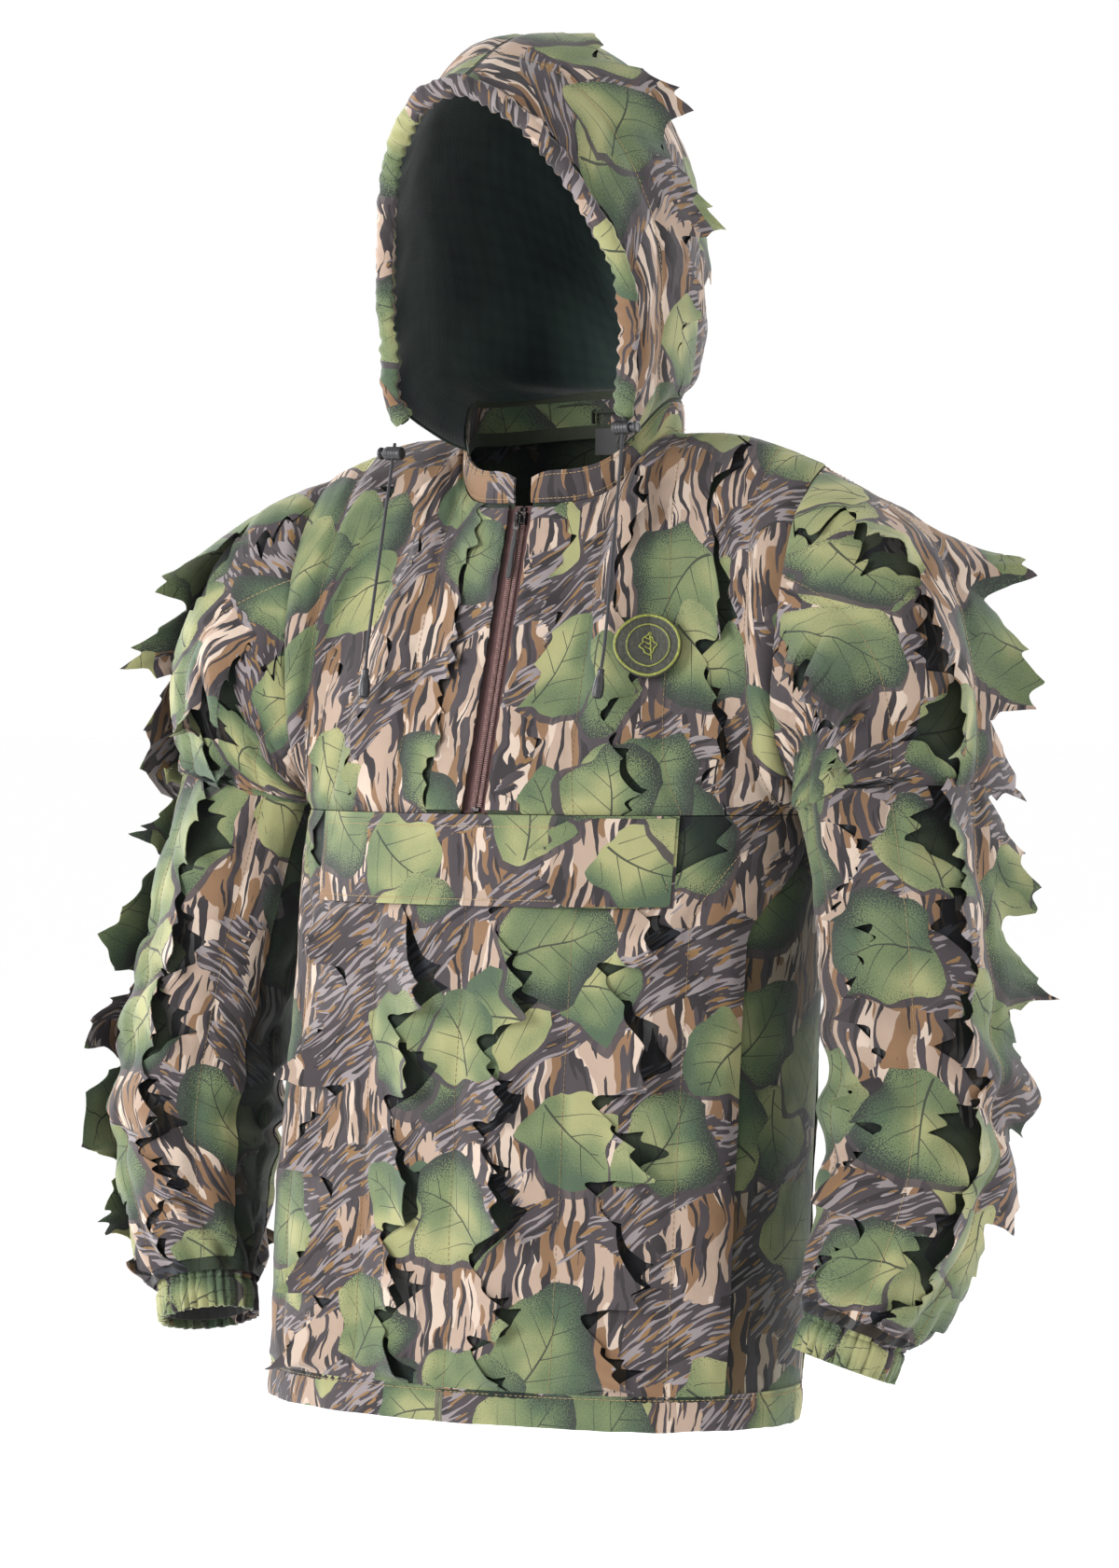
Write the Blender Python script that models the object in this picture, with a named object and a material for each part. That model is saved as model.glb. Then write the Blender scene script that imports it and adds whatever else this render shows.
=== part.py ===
"""Hooded leaf-cut camouflage pullover, as worn: sewn panels, leaf layers, zip, pocket flap and drawcords.

Metres, +Z up, front of the garment towards -Y, the wearer's left towards +X.
The origin is the middle of the neck opening, at the level of the side neck points.
Cloth panels are surfaces with a thickness. u runs round the body, v runs up it.
"""

import math

import bmesh
import bpy
from mathutils import Matrix, Vector

# Cloth.
FABRIC = 0.0016  # base cloth and its lining
LEAF_CLOTH = 0.0012
LEAF_GAP = 0.0022  # between the base cloth and the leaf layer
SEAM = 0.0009  # half the gap that separates two panels at a seam
LEAF_TOOTH = 0.020  # how far a leaf point reaches past the cut line

# Body.
HEM_Z = -0.750
ARMPIT_Z = -0.270
HEM_HALF_WIDTH, CHEST_HALF_WIDTH = 0.235, 0.230
HEM_FRONT, CHEST_FRONT, BELLY_SWELL = 0.130, 0.146, 0.004
HEM_BACK, CHEST_BACK = 0.128, 0.112
HEM_CENTRE_Y = -0.062  # the wearer's hips stand forward of the neck
SQUARENESS = 2.2  # exponent of the body's oval
ARMPIT_SHARE = 0.62  # share of v below the armpit
SIDE_PANEL_U = 0.72  # where the side panel starts, as a share of centre to side
HEM_BAND = 0.026

# Neck and shoulders.
NECK_X, NECK_Y = 0.095, 0.005
NECK_FRONT, NECK_BACK = 0.080, 0.070
NECK_SIDE_Z, NECK_FRONT_DROP, NECK_BACK_RISE = 0.030, 0.056, 0.008
NECK_U = 0.42  # u of the side neck point
SHOULDER_TIP = Vector((0.235, 0.005, 0.002))
SHOULDER_SWELL = 0.010  # how far the shoulder line bows up between the neck and the tip
COLLAR_HEIGHT = 0.026
COLLAR_FRONT_SHARE = 0.265  # share of the half collar that stands free of the hood

# Sleeves.
SLEEVE_PIVOT = Vector((0.230, -0.006, ARMPIT_Z))
SLEEVE_BEND = math.radians(80)
BEND_SHARE = 0.34  # share of the sleeve's length in the shoulder bend
SLEEVE_RADIUS, SLEEVE_CAP_EXTRA = 0.069, 0.122
ARM_LINE = [
    SLEEVE_PIVOT + SLEEVE_RADIUS * Vector((math.sin(SLEEVE_BEND), 0, math.cos(SLEEVE_BEND))),
    Vector((0.3280, -0.026, -0.405)),
    Vector((0.3400, -0.050, -0.550)),
    Vector((0.3080, -0.080, -0.672)),
]
ARM_RADII = [0.0690, 0.0690, 0.0670, 0.0440]
CUFF_RADIUS, CUFF_LENGTH, CUFF_WALL = 0.0375, 0.024, 0.0052

# Hood.
HOOD_CENTRE = Vector((0.0, -0.050, 0.170))
HOOD_RADII = (0.117, 0.146, 0.180)
HOOD_LOW_RADIUS = 0.30
HOOD_SQUARENESS = 2.15
FACE_EDGE = [
    Vector((0.1053, -0.0910, 0.0450)),
    Vector((0.1140, -0.0980, 0.1000)),
    Vector((0.1120, -0.1060, 0.1550)),
    Vector((0.0870, -0.1380, 0.2250)),
    Vector((0.0610, -0.1570, 0.2660)),
    Vector((0.0320, -0.1700, 0.2910)),
    Vector((0.0000, -0.1745, 0.3010)),
]
BACK_SEAM = [
    Vector((0.0, 0.0930, 0.1050)),
    Vector((0.0, 0.0950, 0.1900)),
    Vector((0.0, 0.0700, 0.2720)),
]
TOP_SEAM = [
    Vector((0.0, -0.1745, 0.3010)),
    Vector((0.0, -0.1050, 0.3430)),
    Vector((0.0, -0.0100, 0.3450)),
    Vector((0.0, 0.0700, 0.2720)),
]
HOOD_ABOVE_COLLAR = 0.0032
HOOD_START_U = 0.055  # where the hood panel starts behind its casing
CASING_STATIONS = 27
CASING_START = 0.135  # share of the face edge where the casing starts
CASING_WIDE, CASING_THICK, CASING_HOLE = 0.0070, 0.0045, 0.0019

# Zip: a straight closure from the collar to the pocket flap.
ZIP_HALF_GAP = 0.0130  # the chest panels stop this far from the middle
TAPE_INNER, TAPE_OUTER, TAPE_THICK = 0.0014, 0.0160, 0.0007
TAPE_DEPTH = 0.0036  # of the tape's front face, behind the chest panels' faces
TOOTH_ROOT, TOOTH_TIP = 0.0034, 0.0014
TOOTH_PITCH, TOOTH_THICK = 0.0065, 0.0022
SLIDER_LENGTH, SLIDER_HALF_WIDTH, SLIDER_PLATE = 0.0105, 0.0052, 0.0011
SLIDER_CHANNEL = 0.0041
ZIP_END_MARGIN = 0.006
STOP_LENGTH = 0.0030
PLACKET_INNER, PLACKET_OUTER, PLACKET_THICK = 0.0150, 0.0470, 0.0014
PULL_LENGTH, PULL_WIDE, PULL_THICK = 0.040, 0.0046, 0.0020
PULL_RAISED = 0.0014  # how much the bridge lifts the pull, so that it hangs clear of the pocket flap

# Pocket.
FLAP_HALF_WIDTH, FLAP_HEIGHT, FLAP_THICK = 0.168, 0.072, 0.0012
FLAP_TOP_Z = ARMPIT_Z - 0.004
FLAP_STAND_OFF = (0.0018, 0.0036)  # of its outer face, at the top and at the lower edge
POCKET_MOUTH = 0.014
POCKET_BAG_DEPTH, POCKET_BAG_HALF_WIDTH = 0.20, 0.150
POCKET_BAG_GAP = 0.020

# Badge.
BADGE_RADIUS, BADGE_THICK = 0.0265, 0.0018
BADGE_LIFT = 0.0062  # of its back face off the chest panel
BADGE_PLACE = (0.415, 0.766)  # u, v on the left chest

# Drawcord and its fittings.
CORD_RADIUS = 0.0013
CORD_HOLE = 0.0018
LOCK_RADIUS, LOCK_LENGTH, LOCK_BORE = 0.0054, 0.0160, 0.0039
LOCK_FROM_EXIT = 0.0085
PLUNGER_RADIUS, PLUNGER_LENGTH = 0.0036, 0.0145
PLUNGER_HEAD_RADIUS, PLUNGER_HEAD = 0.0050, 0.0030
PLUNGER_OUT = 0.0065  # how far the plunger stands out of the barrel at rest
PRESS = 0.0025
CORD_ROUTE = [
    Vector((0.1090, -0.0960, 0.0340)),
    Vector((0.1094, -0.1000, 0.0140)),
    Vector((0.1098, -0.1040, -0.0060)),
    Vector((0.1102, -0.1080, -0.0260)),
    Vector((0.1106, -0.1120, -0.0460)),
    Vector((0.1110, -0.1160, -0.0660)),
    Vector((0.1114, -0.1200, -0.0860)),
    Vector((0.1118, -0.1240, -0.1060)),
    Vector((0.1122, -0.1280, -0.1260)),
    Vector((0.1122, -0.1316, -0.1440)),
    Vector((0.1114, -0.1344, -0.1580)),
]
CORD_RISE = {"left": 0.006, "right": -0.010}  # the hood's edge sits a little higher on the left
CORD_END_LENGTH, CORD_END_RADIUS = 0.0240, 0.0045

SIDES = {"left": 1.0, "right": -1.0}


# ---------------------------------------------------------------- curves and surfaces
def mix(a, b, t):
    return a + (b - a) * t


def spaced(start, end, count):
    return [mix(start, end, i / (count - 1)) for i in range(count)]


def ease(t):
    t = min(1.0, max(0.0, t))
    return t * t * (3 - 2 * t)


def through(points, t):
    """A smooth curve through the points, t from 0 to 1."""
    last = len(points) - 1
    i = min(int(t * last), last - 1)
    f = t * last - i
    p0, p1, p2, p3 = (points[min(max(i + k, 0), last)] for k in (-1, 0, 1, 2))
    return 0.5 * (
        2 * p1 + (p2 - p0) * f + (2 * p0 - 5 * p1 + 4 * p2 - p3) * f * f
        + (3 * p1 - p0 - 3 * p2 + p3) * f * f * f
    )


def bezier(a, b, c, d, t):
    s = 1 - t
    return a * s**3 + b * (3 * s * s * t) + c * (3 * s * t * t) + d * t**3


def neckline(u, front):
    """The neck opening's edge, u from 0 at the centre to 1 at the side neck point."""
    angle = u * math.pi / 2
    depth = -NECK_FRONT if front else NECK_BACK
    rise = -NECK_FRONT_DROP if front else NECK_BACK_RISE
    level = 1 - math.sin(angle) ** 5 if front else math.cos(angle) ** 2
    return Vector((
        NECK_X * math.sin(angle),
        NECK_Y + depth * math.cos(angle),
        NECK_SIDE_Z + rise * level,
    ))


def top_edge(u, front):
    if u <= NECK_U:
        return neckline(u / NECK_U, front)
    share = (u - NECK_U) / (1 - NECK_U)
    swell = Vector((0, 0, SHOULDER_SWELL * math.sin(math.pi * share)))
    return neckline(1.0, front).lerp(SHOULDER_TIP, share) + swell


def body_ring(u, z, front):
    t = (z - HEM_Z) / (ARMPIT_Z - HEM_Z)
    half = mix(HEM_HALF_WIDTH, CHEST_HALF_WIDTH, t)
    if front:
        depth = -(mix(HEM_FRONT, CHEST_FRONT, t) + BELLY_SWELL * math.sin(math.pi * t))
    else:
        depth = mix(HEM_BACK, CHEST_BACK, t)
    angle = min(u, 1.0) * math.pi / 2
    power = 2 / SQUARENESS
    return Vector((
        half * math.sin(angle) ** power,
        HEM_CENTRE_Y * (1 - t) + depth * max(math.cos(angle), 0.0) ** power,
        z,
    ))


def body(u, v, front=True):
    """Outer face of the body's cloth. u is signed, 0 at the centre and 1 or -1 at the side."""
    side = -1.0 if u < 0 else 1.0
    u = abs(u)
    if v <= ARMPIT_SHARE:
        p = body_ring(u, mix(HEM_Z, ARMPIT_Z, v / ARMPIT_SHARE), front)
    else:
        out = -1.0 if front else 1.0
        low, top = body_ring(u, ARMPIT_Z, front), top_edge(u, front)
        edge = ease((u - 0.60) / 0.40)
        straight = 1 - ease((u - 0.09) / 0.26) if front else 0.0
        above_low = low + Vector((0, out * 0.105 * edge, mix(0.075, 0.025, edge)))
        under_top = top + Vector((0, out * mix(0.052, 0.095, edge), -mix(0.016, 0.045, edge)))
        above_low = above_low.lerp(low.lerp(top, 1 / 3), straight)
        under_top = under_top.lerp(low.lerp(top, 2 / 3), straight)
        p = bezier(low, above_low, under_top, top, (v - ARMPIT_SHARE) / (1 - ARMPIT_SHARE))
    return Vector((side * p.x, p.y, p.z))


def armhole(turn):
    """The armhole's edge: turn 0 at the armpit, up the front to 0.5 at the shoulder tip, down the back."""
    front = turn <= 0.5
    rise = 2 * turn if front else 2 * (1 - turn)
    return body(1.0, ARMPIT_SHARE + (1 - ARMPIT_SHARE) * rise, front)


def sleeve(turn, along):
    """The left sleeve's outer face: along 0 at the armhole, 1 at the cuff. turn runs round it."""
    turn %= 1.0
    round_cos, round_sin = math.cos(2 * math.pi * turn), math.sin(2 * math.pi * turn)
    if along < BEND_SHARE:
        bend = SLEEVE_BEND * along / BEND_SHARE
        tall = 2 * SLEEVE_RADIUS + SLEEVE_CAP_EXTRA * math.cos(bend) ** 2
        wide = SLEEVE_RADIUS + 0.012 * math.cos(bend)
        up = Vector((math.sin(bend), 0, math.cos(bend)))
        ring = SLEEVE_PIVOT + up * (tall / 2 * (1 - round_cos)) + Vector((0, -wide * round_sin, 0))
        return armhole(turn).lerp(ring, ease(bend / SLEEVE_BEND / 0.35))
    t = (along - BEND_SHARE) / (1 - BEND_SHARE)
    centre, outward, back, _ = arm_frame(t)
    radius = through(ARM_RADII, t)
    return centre - outward * (radius * round_cos) - back * (radius * round_sin)


def arm_frame(t):
    """Centre, outward, backward and downward directions of the arm, t from 0 at the bend to 1 at the cuff."""
    centre = through(ARM_LINE, t)
    down = (through(ARM_LINE, min(1, t + 0.01)) - through(ARM_LINE, max(0, t - 0.01))).normalized()
    outward = (Vector((1, 0, 0)) - down * down.x).normalized()
    return centre, outward, outward.cross(down), down


def collar_top(u, front):
    base = neckline(u, front)
    return Vector((base.x * 0.985, NECK_Y + (base.y - NECK_Y) * 0.985, base.z + COLLAR_HEIGHT))


def hood_base(t):
    """The hood's neck edge, from its front end to the nape, just above the collar."""
    start = COLLAR_FRONT_SHARE * 2
    u = start + (2 - start) * t
    p = collar_top(u, True) if u <= 1 else collar_top(2 - u, False)
    return p + Vector((0, 0, HOOD_ABOVE_COLLAR))


def hood(u, v):
    """The left hood panel: u from the face edge to the back seam, v from the neck to the top seam."""
    low, high = hood_base(u), through(TOP_SEAM, u)
    face = through([hood_base(0), *FACE_EDGE], v)
    back = through([hood_base(1), *BACK_SEAM], v)
    corners = (
        hood_base(0) * (1 - u) * (1 - v) + hood_base(1) * u * (1 - v)
        + TOP_SEAM[0] * (1 - u) * v + TOP_SEAM[-1] * u * v
    )
    p = low * (1 - v) + high * v + face * (1 - u) + back * u - corners
    ray = p - HOOD_CENTRE
    radii = (HOOD_RADII[0], HOOD_RADII[1], HOOD_RADII[2] if ray.z > 0 else HOOD_LOW_RADIUS)
    size = sum(abs(ray[k] / radii[k]) ** HOOD_SQUARENESS for k in range(3)) ** (-1 / HOOD_SQUARENESS)
    shaped = HOOD_CENTRE + ray * size
    p = p.lerp(shaped, ease(u / 0.35) * ease(v / 0.18))
    return Vector((max(p.x, 0.0), p.y, p.z))


def lifted(surface, distance):
    """The same surface moved outwards by a distance, a number or a function of u and v."""
    step = 0.002

    def point(u, v):
        along = surface(u + step, v) - surface(u - step, v)
        up = surface(u, min(v + step, 1.0)) - surface(u, max(v - step, 0.0))
        away = distance(u, v) if callable(distance) else distance
        return surface(u, v) + along.cross(up).normalized() * away

    return point


def mirrored(surface):
    def point(u, v):
        p = surface(u, v)
        return Vector((-p.x, p.y, p.z))

    return point


# ---------------------------------------------------------------- building
def clear_scene():
    for old in list(bpy.data.objects):
        bpy.data.objects.remove(old)


def material(name, colour, roughness, metallic=0.0):
    made = bpy.data.materials.new(name)
    made.use_nodes = True
    shader = made.node_tree.nodes["Principled BSDF"]
    shader.inputs["Base Color"].default_value = (*colour, 1)
    shader.inputs["Roughness"].default_value = roughness
    shader.inputs["Metallic"].default_value = metallic
    return made


def add_object(name, mesh_data, finish, at=None):
    made = bpy.data.objects.new(name, mesh_data)
    bpy.context.scene.collection.objects.link(made)
    made.data.materials.append(finish)
    if at is not None:
        made.matrix_world = at
    return made


def mesh_from(name, points, faces, finish, at=None):
    data = bpy.data.meshes.new(name)
    data.from_pydata([tuple(p) for p in points], [], faces)
    data.validate()
    data.shade_smooth()
    data.set_sharp_from_angle(angle=math.radians(40))
    return add_object(name, data, finish, at)


def solid_mesh(name, points, faces, finish, at=None):
    """A closed mesh whose faces may be listed either way round: bmesh turns them all outwards."""
    made = mesh_from(name, points, faces, finish, at)
    form = bmesh.new()
    form.from_mesh(made.data)
    bmesh.ops.recalc_face_normals(form, faces=form.faces)
    form.to_mesh(made.data)
    form.free()
    return made


def cloth(name, surface, us, vs, finish, thick=FABRIC, ring=False, flip=False):
    """A cloth panel: the surface sampled at us and vs, thickened inwards from its outer face."""
    points = [surface(u, v) for v in vs for u in us]
    n = len(us)
    across = n if ring else n - 1
    faces = []
    for j in range(len(vs) - 1):
        for i in range(across):
            k = (i + 1) % n
            face = (j * n + i, j * n + k, (j + 1) * n + k, (j + 1) * n + i)
            faces.append(face[::-1] if flip else face)
    made = mesh_from(name, points, faces, finish)
    shell = made.modifiers.new("Cloth", "SOLIDIFY")
    shell.thickness = thick
    shell.offset = -1.0
    return made


def both_sides(name, surface, us, vs, finish, **how):
    cloth(f"{name}_left", surface, us, vs, finish, **how)
    cloth(f"{name}_right", mirrored(surface), us, vs, finish, **{**how, "flip": not how.get("flip", False)})


def prism(name, outline, low, high, finish, at=None):
    """An outline in X and Z, extruded along Y from low to high."""
    n = len(outline)
    points = [(x, y, z) for y in (low, high) for x, z in outline]
    faces = [tuple(range(n)), tuple(range(n, 2 * n))]
    faces += [(i, (i + 1) % n, n + (i + 1) % n, n + i) for i in range(n)]
    return solid_mesh(name, points, faces, finish, at)


def turned(name, profile, finish, at=None, steps=16):
    """A closed profile of (radius, height) turned about Z. A radius of 0 is a pole."""
    points, rings = [], []
    for radius, height in profile:
        if radius == 0:
            rings.append([len(points)] * steps)
            points.append((0, 0, height))
            continue
        rings.append(list(range(len(points), len(points) + steps)))
        for k in range(steps):
            angle = 2 * math.pi * k / steps
            points.append((radius * math.cos(angle), radius * math.sin(angle), height))
    closed_ring = profile[0][0] != 0
    faces = []
    for a, b in zip(rings, rings[1:] + (rings[:1] if closed_ring else [])):
        for k in range(steps):
            corners = [a[k], a[(k + 1) % steps], b[(k + 1) % steps], b[k]]
            corners = list(dict.fromkeys(corners))
            if len(corners) > 2:
                faces.append(tuple(corners))
    return solid_mesh(name, points, faces, finish, at)


def tube(name, line, radius, finish, sides=6):
    """A round cord along a list of points, as a filled curve."""
    data = bpy.data.curves.new(name, "CURVE")
    data.dimensions = "3D"
    data.bevel_depth = radius
    data.bevel_resolution = (sides - 4) // 2
    data.use_fill_caps = True
    spline = data.splines.new("POLY")
    spline.points.add(len(line) - 1)
    for point, place in zip(spline.points, line):
        point.co = (*place, 1)
    return add_object(name, data, finish)


def cut(target, cutter):
    cutter.hide_render = True
    cutter.display_type = "WIRE"
    hole = target.modifiers.new("Hole", "BOOLEAN")
    hole.operation = "DIFFERENCE"
    hole.object = cutter


def place(origin, z_axis, x_hint):
    """A frame with its Z along z_axis and its X nearest to x_hint."""
    z = z_axis.normalized()
    x = (x_hint - z * x_hint.dot(z)).normalized()
    y = z.cross(x)
    return Matrix(((x.x, y.x, z.x, origin.x), (x.y, y.y, z.y, origin.y), (x.z, y.z, z.z, origin.z), (0, 0, 0, 1)))


# ---------------------------------------------------------------- body panels
def leaf_lift(turn_edge, far_edge, lift, teeth):
    """Distance off the base for a leaf layer whose far edge is cut into points that stand away."""

    def distance(u, v):
        near = ease((u - turn_edge) / (far_edge - turn_edge))
        return LEAF_GAP + LEAF_CLOTH + lift * near * (0.55 + 0.45 * math.sin(teeth * v))

    return distance


SLEEVE_SIDES = 16
SLEEVE_ALONGS = [0.004, 0.06, 0.12, 0.18, 0.24, 0.30, 0.36, 0.43, 0.50, 0.57, 0.64, 0.71, 0.78, 0.85, 0.92, 0.992]
FLAP_V = (FLAP_TOP_Z - HEM_Z) / (ARMPIT_Z - HEM_Z) * ARMPIT_SHARE
HEM_V = HEM_BAND / (ARMPIT_Z - HEM_Z) * ARMPIT_SHARE
TOP_V = 1 - 0.004
MOUTH_V = FLAP_V - POCKET_MOUTH / (ARMPIT_Z - HEM_Z) * ARMPIT_SHARE

# A leaf layer takes its rows and columns from the panel below it, so that the two stay apart everywhere.
WIDE_US = spaced(-0.99, 0.99, 17)
FLAP_END_V = FLAP_V - (FLAP_HEIGHT + 0.003) / (ARMPIT_Z - HEM_Z) * ARMPIT_SHARE
FRONT_LOW_VS = spaced(HEM_V + 0.0025, FLAP_END_V, 8) + spaced(FLAP_END_V, MOUTH_V, 3)[1:]
CHEST_US = [0.053, 0.10, 0.17, 0.235, 0.33, 0.418, 0.424, 0.52, 0.62, 0.74, 0.86, 0.93, 0.985]
CHEST_VS = spaced(FLAP_V + 0.0015, TOP_V, 9)
BACK_HALF_US = [0.15, 0.30, 0.422, 0.52, 0.62, 0.74, 0.86, 0.93, 0.99]
BACK_US = [-u for u in reversed(BACK_HALF_US)] + [0.0] + BACK_HALF_US
BACK_VS = spaced(HEM_V + 0.0025, ARMPIT_SHARE, 8) + spaced(ARMPIT_SHARE, TOP_V, 8)[1:]


def side_panel_edge(v):
    """u of the seam between the front or back panel and the side panel: it closes up below the armpit."""
    return mix(SIDE_PANEL_U, 0.985, ease((v / ARMPIT_SHARE - 0.80) / 0.20))


def chest(u, v):
    return body(u, v, True)


def front_low(u, v):
    """The lower front, u from -1 at the right side seam to 1 at the left one."""
    return body(u * side_panel_edge(v), v, True)


def back_panel(u, v):
    reach = side_panel_edge(v) if v < ARMPIT_SHARE else 0.985
    return body(u * reach, v, False)


def build_body(base, mesh_cloth, leaf):
    cloth("front_lower_panel", front_low, WIDE_US, FRONT_LOW_VS, base)

    def chest_panel(u, v):
        p = chest(u, v)
        return Vector((max(p.x, ZIP_HALF_GAP), p.y, p.z)) if u < 0.06 else p

    both_sides("chest_panel", chest_panel, CHEST_US, CHEST_VS, base)
    cloth("back_panel", back_panel, BACK_US, BACK_VS, base, flip=True)

    def side(u, v):
        """u from 0 at the front seam to 1 at the back seam."""
        edge = side_panel_edge(v) + 0.006
        front = u <= 0.5
        return body(mix(edge, 1.0, 2 * u if front else 2 * (1 - u)), v, front)

    both_sides("side_panel", side, spaced(0, 1, 7), spaced(HEM_V + 0.0025, ARMPIT_SHARE - 0.012, 9), mesh_cloth)
    hem_ring()
    leaf_body(leaf)


def hem_ring():
    """The turned hem: one ring of folded cloth round the bottom edge."""
    steps = 40
    us = []
    for k in range(steps):
        turn = 4 * k / steps
        quarter, share = int(turn), turn - int(turn)
        us.append((quarter, share))

    def point(key, v):
        quarter, share = key
        u = share if quarter in (0, 2) else 1 - share
        p = body(u, v, quarter in (0, 3))
        return p if quarter in (0, 1) else Vector((-p.x, p.y, p.z))

    cloth("hem_band", point, us, [0.0, HEM_V * 0.5, HEM_V - 0.0025], FINISH["base"], thick=0.0024, ring=True)


def leaf_body(leaf):
    lift = leaf_lift(0.70, 0.96, 0.010, 60)
    cloth(
        "leaf_layer_front", lifted(front_low, lambda u, v: lift(abs(u), v)), WIDE_US[1:-1], FRONT_LOW_VS[:-2],
        leaf, thick=LEAF_CLOTH,
    )
    chest_lift = leaf_lift(0.70, 0.93, 0.004, 70)
    both_sides("leaf_layer_chest", lifted(chest, chest_lift), CHEST_US[3:-1], CHEST_VS[:-1], leaf, thick=LEAF_CLOTH)
    cloth(
        "leaf_layer_back", lifted(back_panel, lambda u, v: -lift(abs(u), v)), BACK_US[1:-1], BACK_VS[:-2],
        leaf, thick=LEAF_CLOTH, flip=True,
    )


# ---------------------------------------------------------------- sleeves and cuffs
def build_sleeves(base, leaf, elastic):
    turns = [k / SLEEVE_SIDES for k in range(SLEEVE_SIDES)]
    both_sides("sleeve", sleeve, turns, SLEEVE_ALONGS, base, ring=True, flip=True)

    def fringe(start, end):
        """A leaf strip from its sewn edge at start to its cut edge at end, which stands out in points."""

        def distance(u, v):
            share = ease((u - start) / (end - start)) if end > start else ease((start - u) / (start - end))
            points = 0.5 + 0.5 * math.cos(math.pi * SLEEVE_ALONGS.index(v)) if v in SLEEVE_ALONGS else 0.5
            fade = min(1.0, max(0.0, (v - 0.06) / 0.25), (1.0 - v) / 0.10)
            return -(LEAF_GAP + LEAF_CLOTH + share * fade * (0.006 + LEAF_TOOTH * points))

        return lifted(sleeve, distance)

    for name, first, last in (("front", 3, 7), ("back", 13, 9)):
        columns = [k / SLEEVE_SIDES for k in range(min(first, last), max(first, last) + 1)]
        both_sides(f"leaf_strip_sleeve_{name}", fringe(first / SLEEVE_SIDES, last / SLEEVE_SIDES), columns,
                   SLEEVE_ALONGS[1:-1], leaf, thick=LEAF_CLOTH, flip=True)
    centre, outward, _, down = arm_frame(1.0)
    frame = place(centre + down * 0.0016, down, outward)
    wall, length, radius = CUFF_WALL, CUFF_LENGTH, CUFF_RADIUS
    fold = 0.0013
    profile = [
        (radius, 0), (radius + 0.0015, length / 2), (radius, length), (radius - wall, length),
        (radius - wall, 0), (radius - wall + fold, 0), (radius - wall + fold, length - fold),
        (radius - fold, length - fold), (radius - fold, 0),
    ]
    band = [
        (radius - fold - 0.0006, 0.003), (radius - fold - 0.0006, length - fold - 0.003),
        (radius - wall + fold + 0.0006, length - fold - 0.003), (radius - wall + fold + 0.0006, 0.003),
    ]
    for name, side in SIDES.items():
        at = Matrix.Diagonal((side, 1, 1, 1)) @ frame
        if side < 0:
            at = at @ Matrix.Diagonal((-1, 1, 1, 1))
        turned(f"cuff_{name}", profile, base, at, steps=24)
        turned(f"cuff_elastic_{name}", band, elastic, at, steps=24)


# ---------------------------------------------------------------- collar and hood
def build_collar(base, tape):
    def stand(u, v):
        """u from -2 at the right front end, round the back at 0, to 2 at the left front end."""
        share = 2 - abs(u)
        front = share < 1
        low = neckline(share if front else 2 - share, front)
        high = collar_top(share if front else 2 - share, front)
        p = low.lerp(high, v) + Vector((0, 0, 0.0016))
        return Vector((-p.x if u < 0 else p.x, p.y, p.z))

    ends = 0.055
    cloth("collar_stand", stand, spaced(-2 + ends, 2 - ends, 29), [0, 0.5, 1.0], base, thick=0.0022, flip=True)
    loop_y, loop_z, half, drop = NECK_Y + NECK_BACK - 0.0085, 0.044, 0.022, 0.0110
    wide, thick = 0.0045, 0.0018
    outline = [
        (-half, loop_z), (half, loop_z), (half, loop_z + drop), (half - thick, loop_z + drop),
        (half - thick, loop_z + thick), (-half + thick, loop_z + thick), (-half + thick, loop_z + drop),
        (-half, loop_z + drop),
    ]
    turned_up = [(x, 2 * loop_z + drop - z) for x, z in outline]
    prism("hanger_loop", turned_up, loop_y - wide / 2, loop_y + wide / 2, tape)
    label = [(-0.019, 0.018), (0.019, 0.018), (0.019, 0.040), (-0.019, 0.040)]
    prism("size_label", label, loop_y + 0.0005, loop_y + 0.0012, tape)


def face_line(share):
    """The casing's middle line: share -1 at the right end, 0 at the forehead, 1 at the left end."""
    p = through([hood_base(0), *FACE_EDGE], 1 - abs(share) * (1 - CASING_START))
    return Vector((-p.x if share < 0 else p.x, p.y, p.z))


def sweep(name, stations, sections, finish):
    """A closed body swept through stations. Each section is a list of rings of points in that station."""
    outer, inner = sections
    n = len(outer)
    points = []
    for centre, across, out in stations:
        points += [centre + across * a + out * b for a, b in outer]
        points += [centre + across * a + out * b for a, b in inner]
    faces = []
    for s in range(len(stations) - 1):
        here, there = s * 2 * n, (s + 1) * 2 * n
        for k in range(n):
            m = (k + 1) % n
            faces.append((here + k, here + m, there + m, there + k))
            faces.append((here + n + m, here + n + k, there + n + k, there + n + m))
    for s in (0, len(stations) - 1):
        here = s * 2 * n
        faces += [(here + k, here + (k + 1) % n, here + n + (k + 1) % n, here + n + k) for k in range(n)]
    return solid_mesh(name, points, faces, finish)


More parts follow.
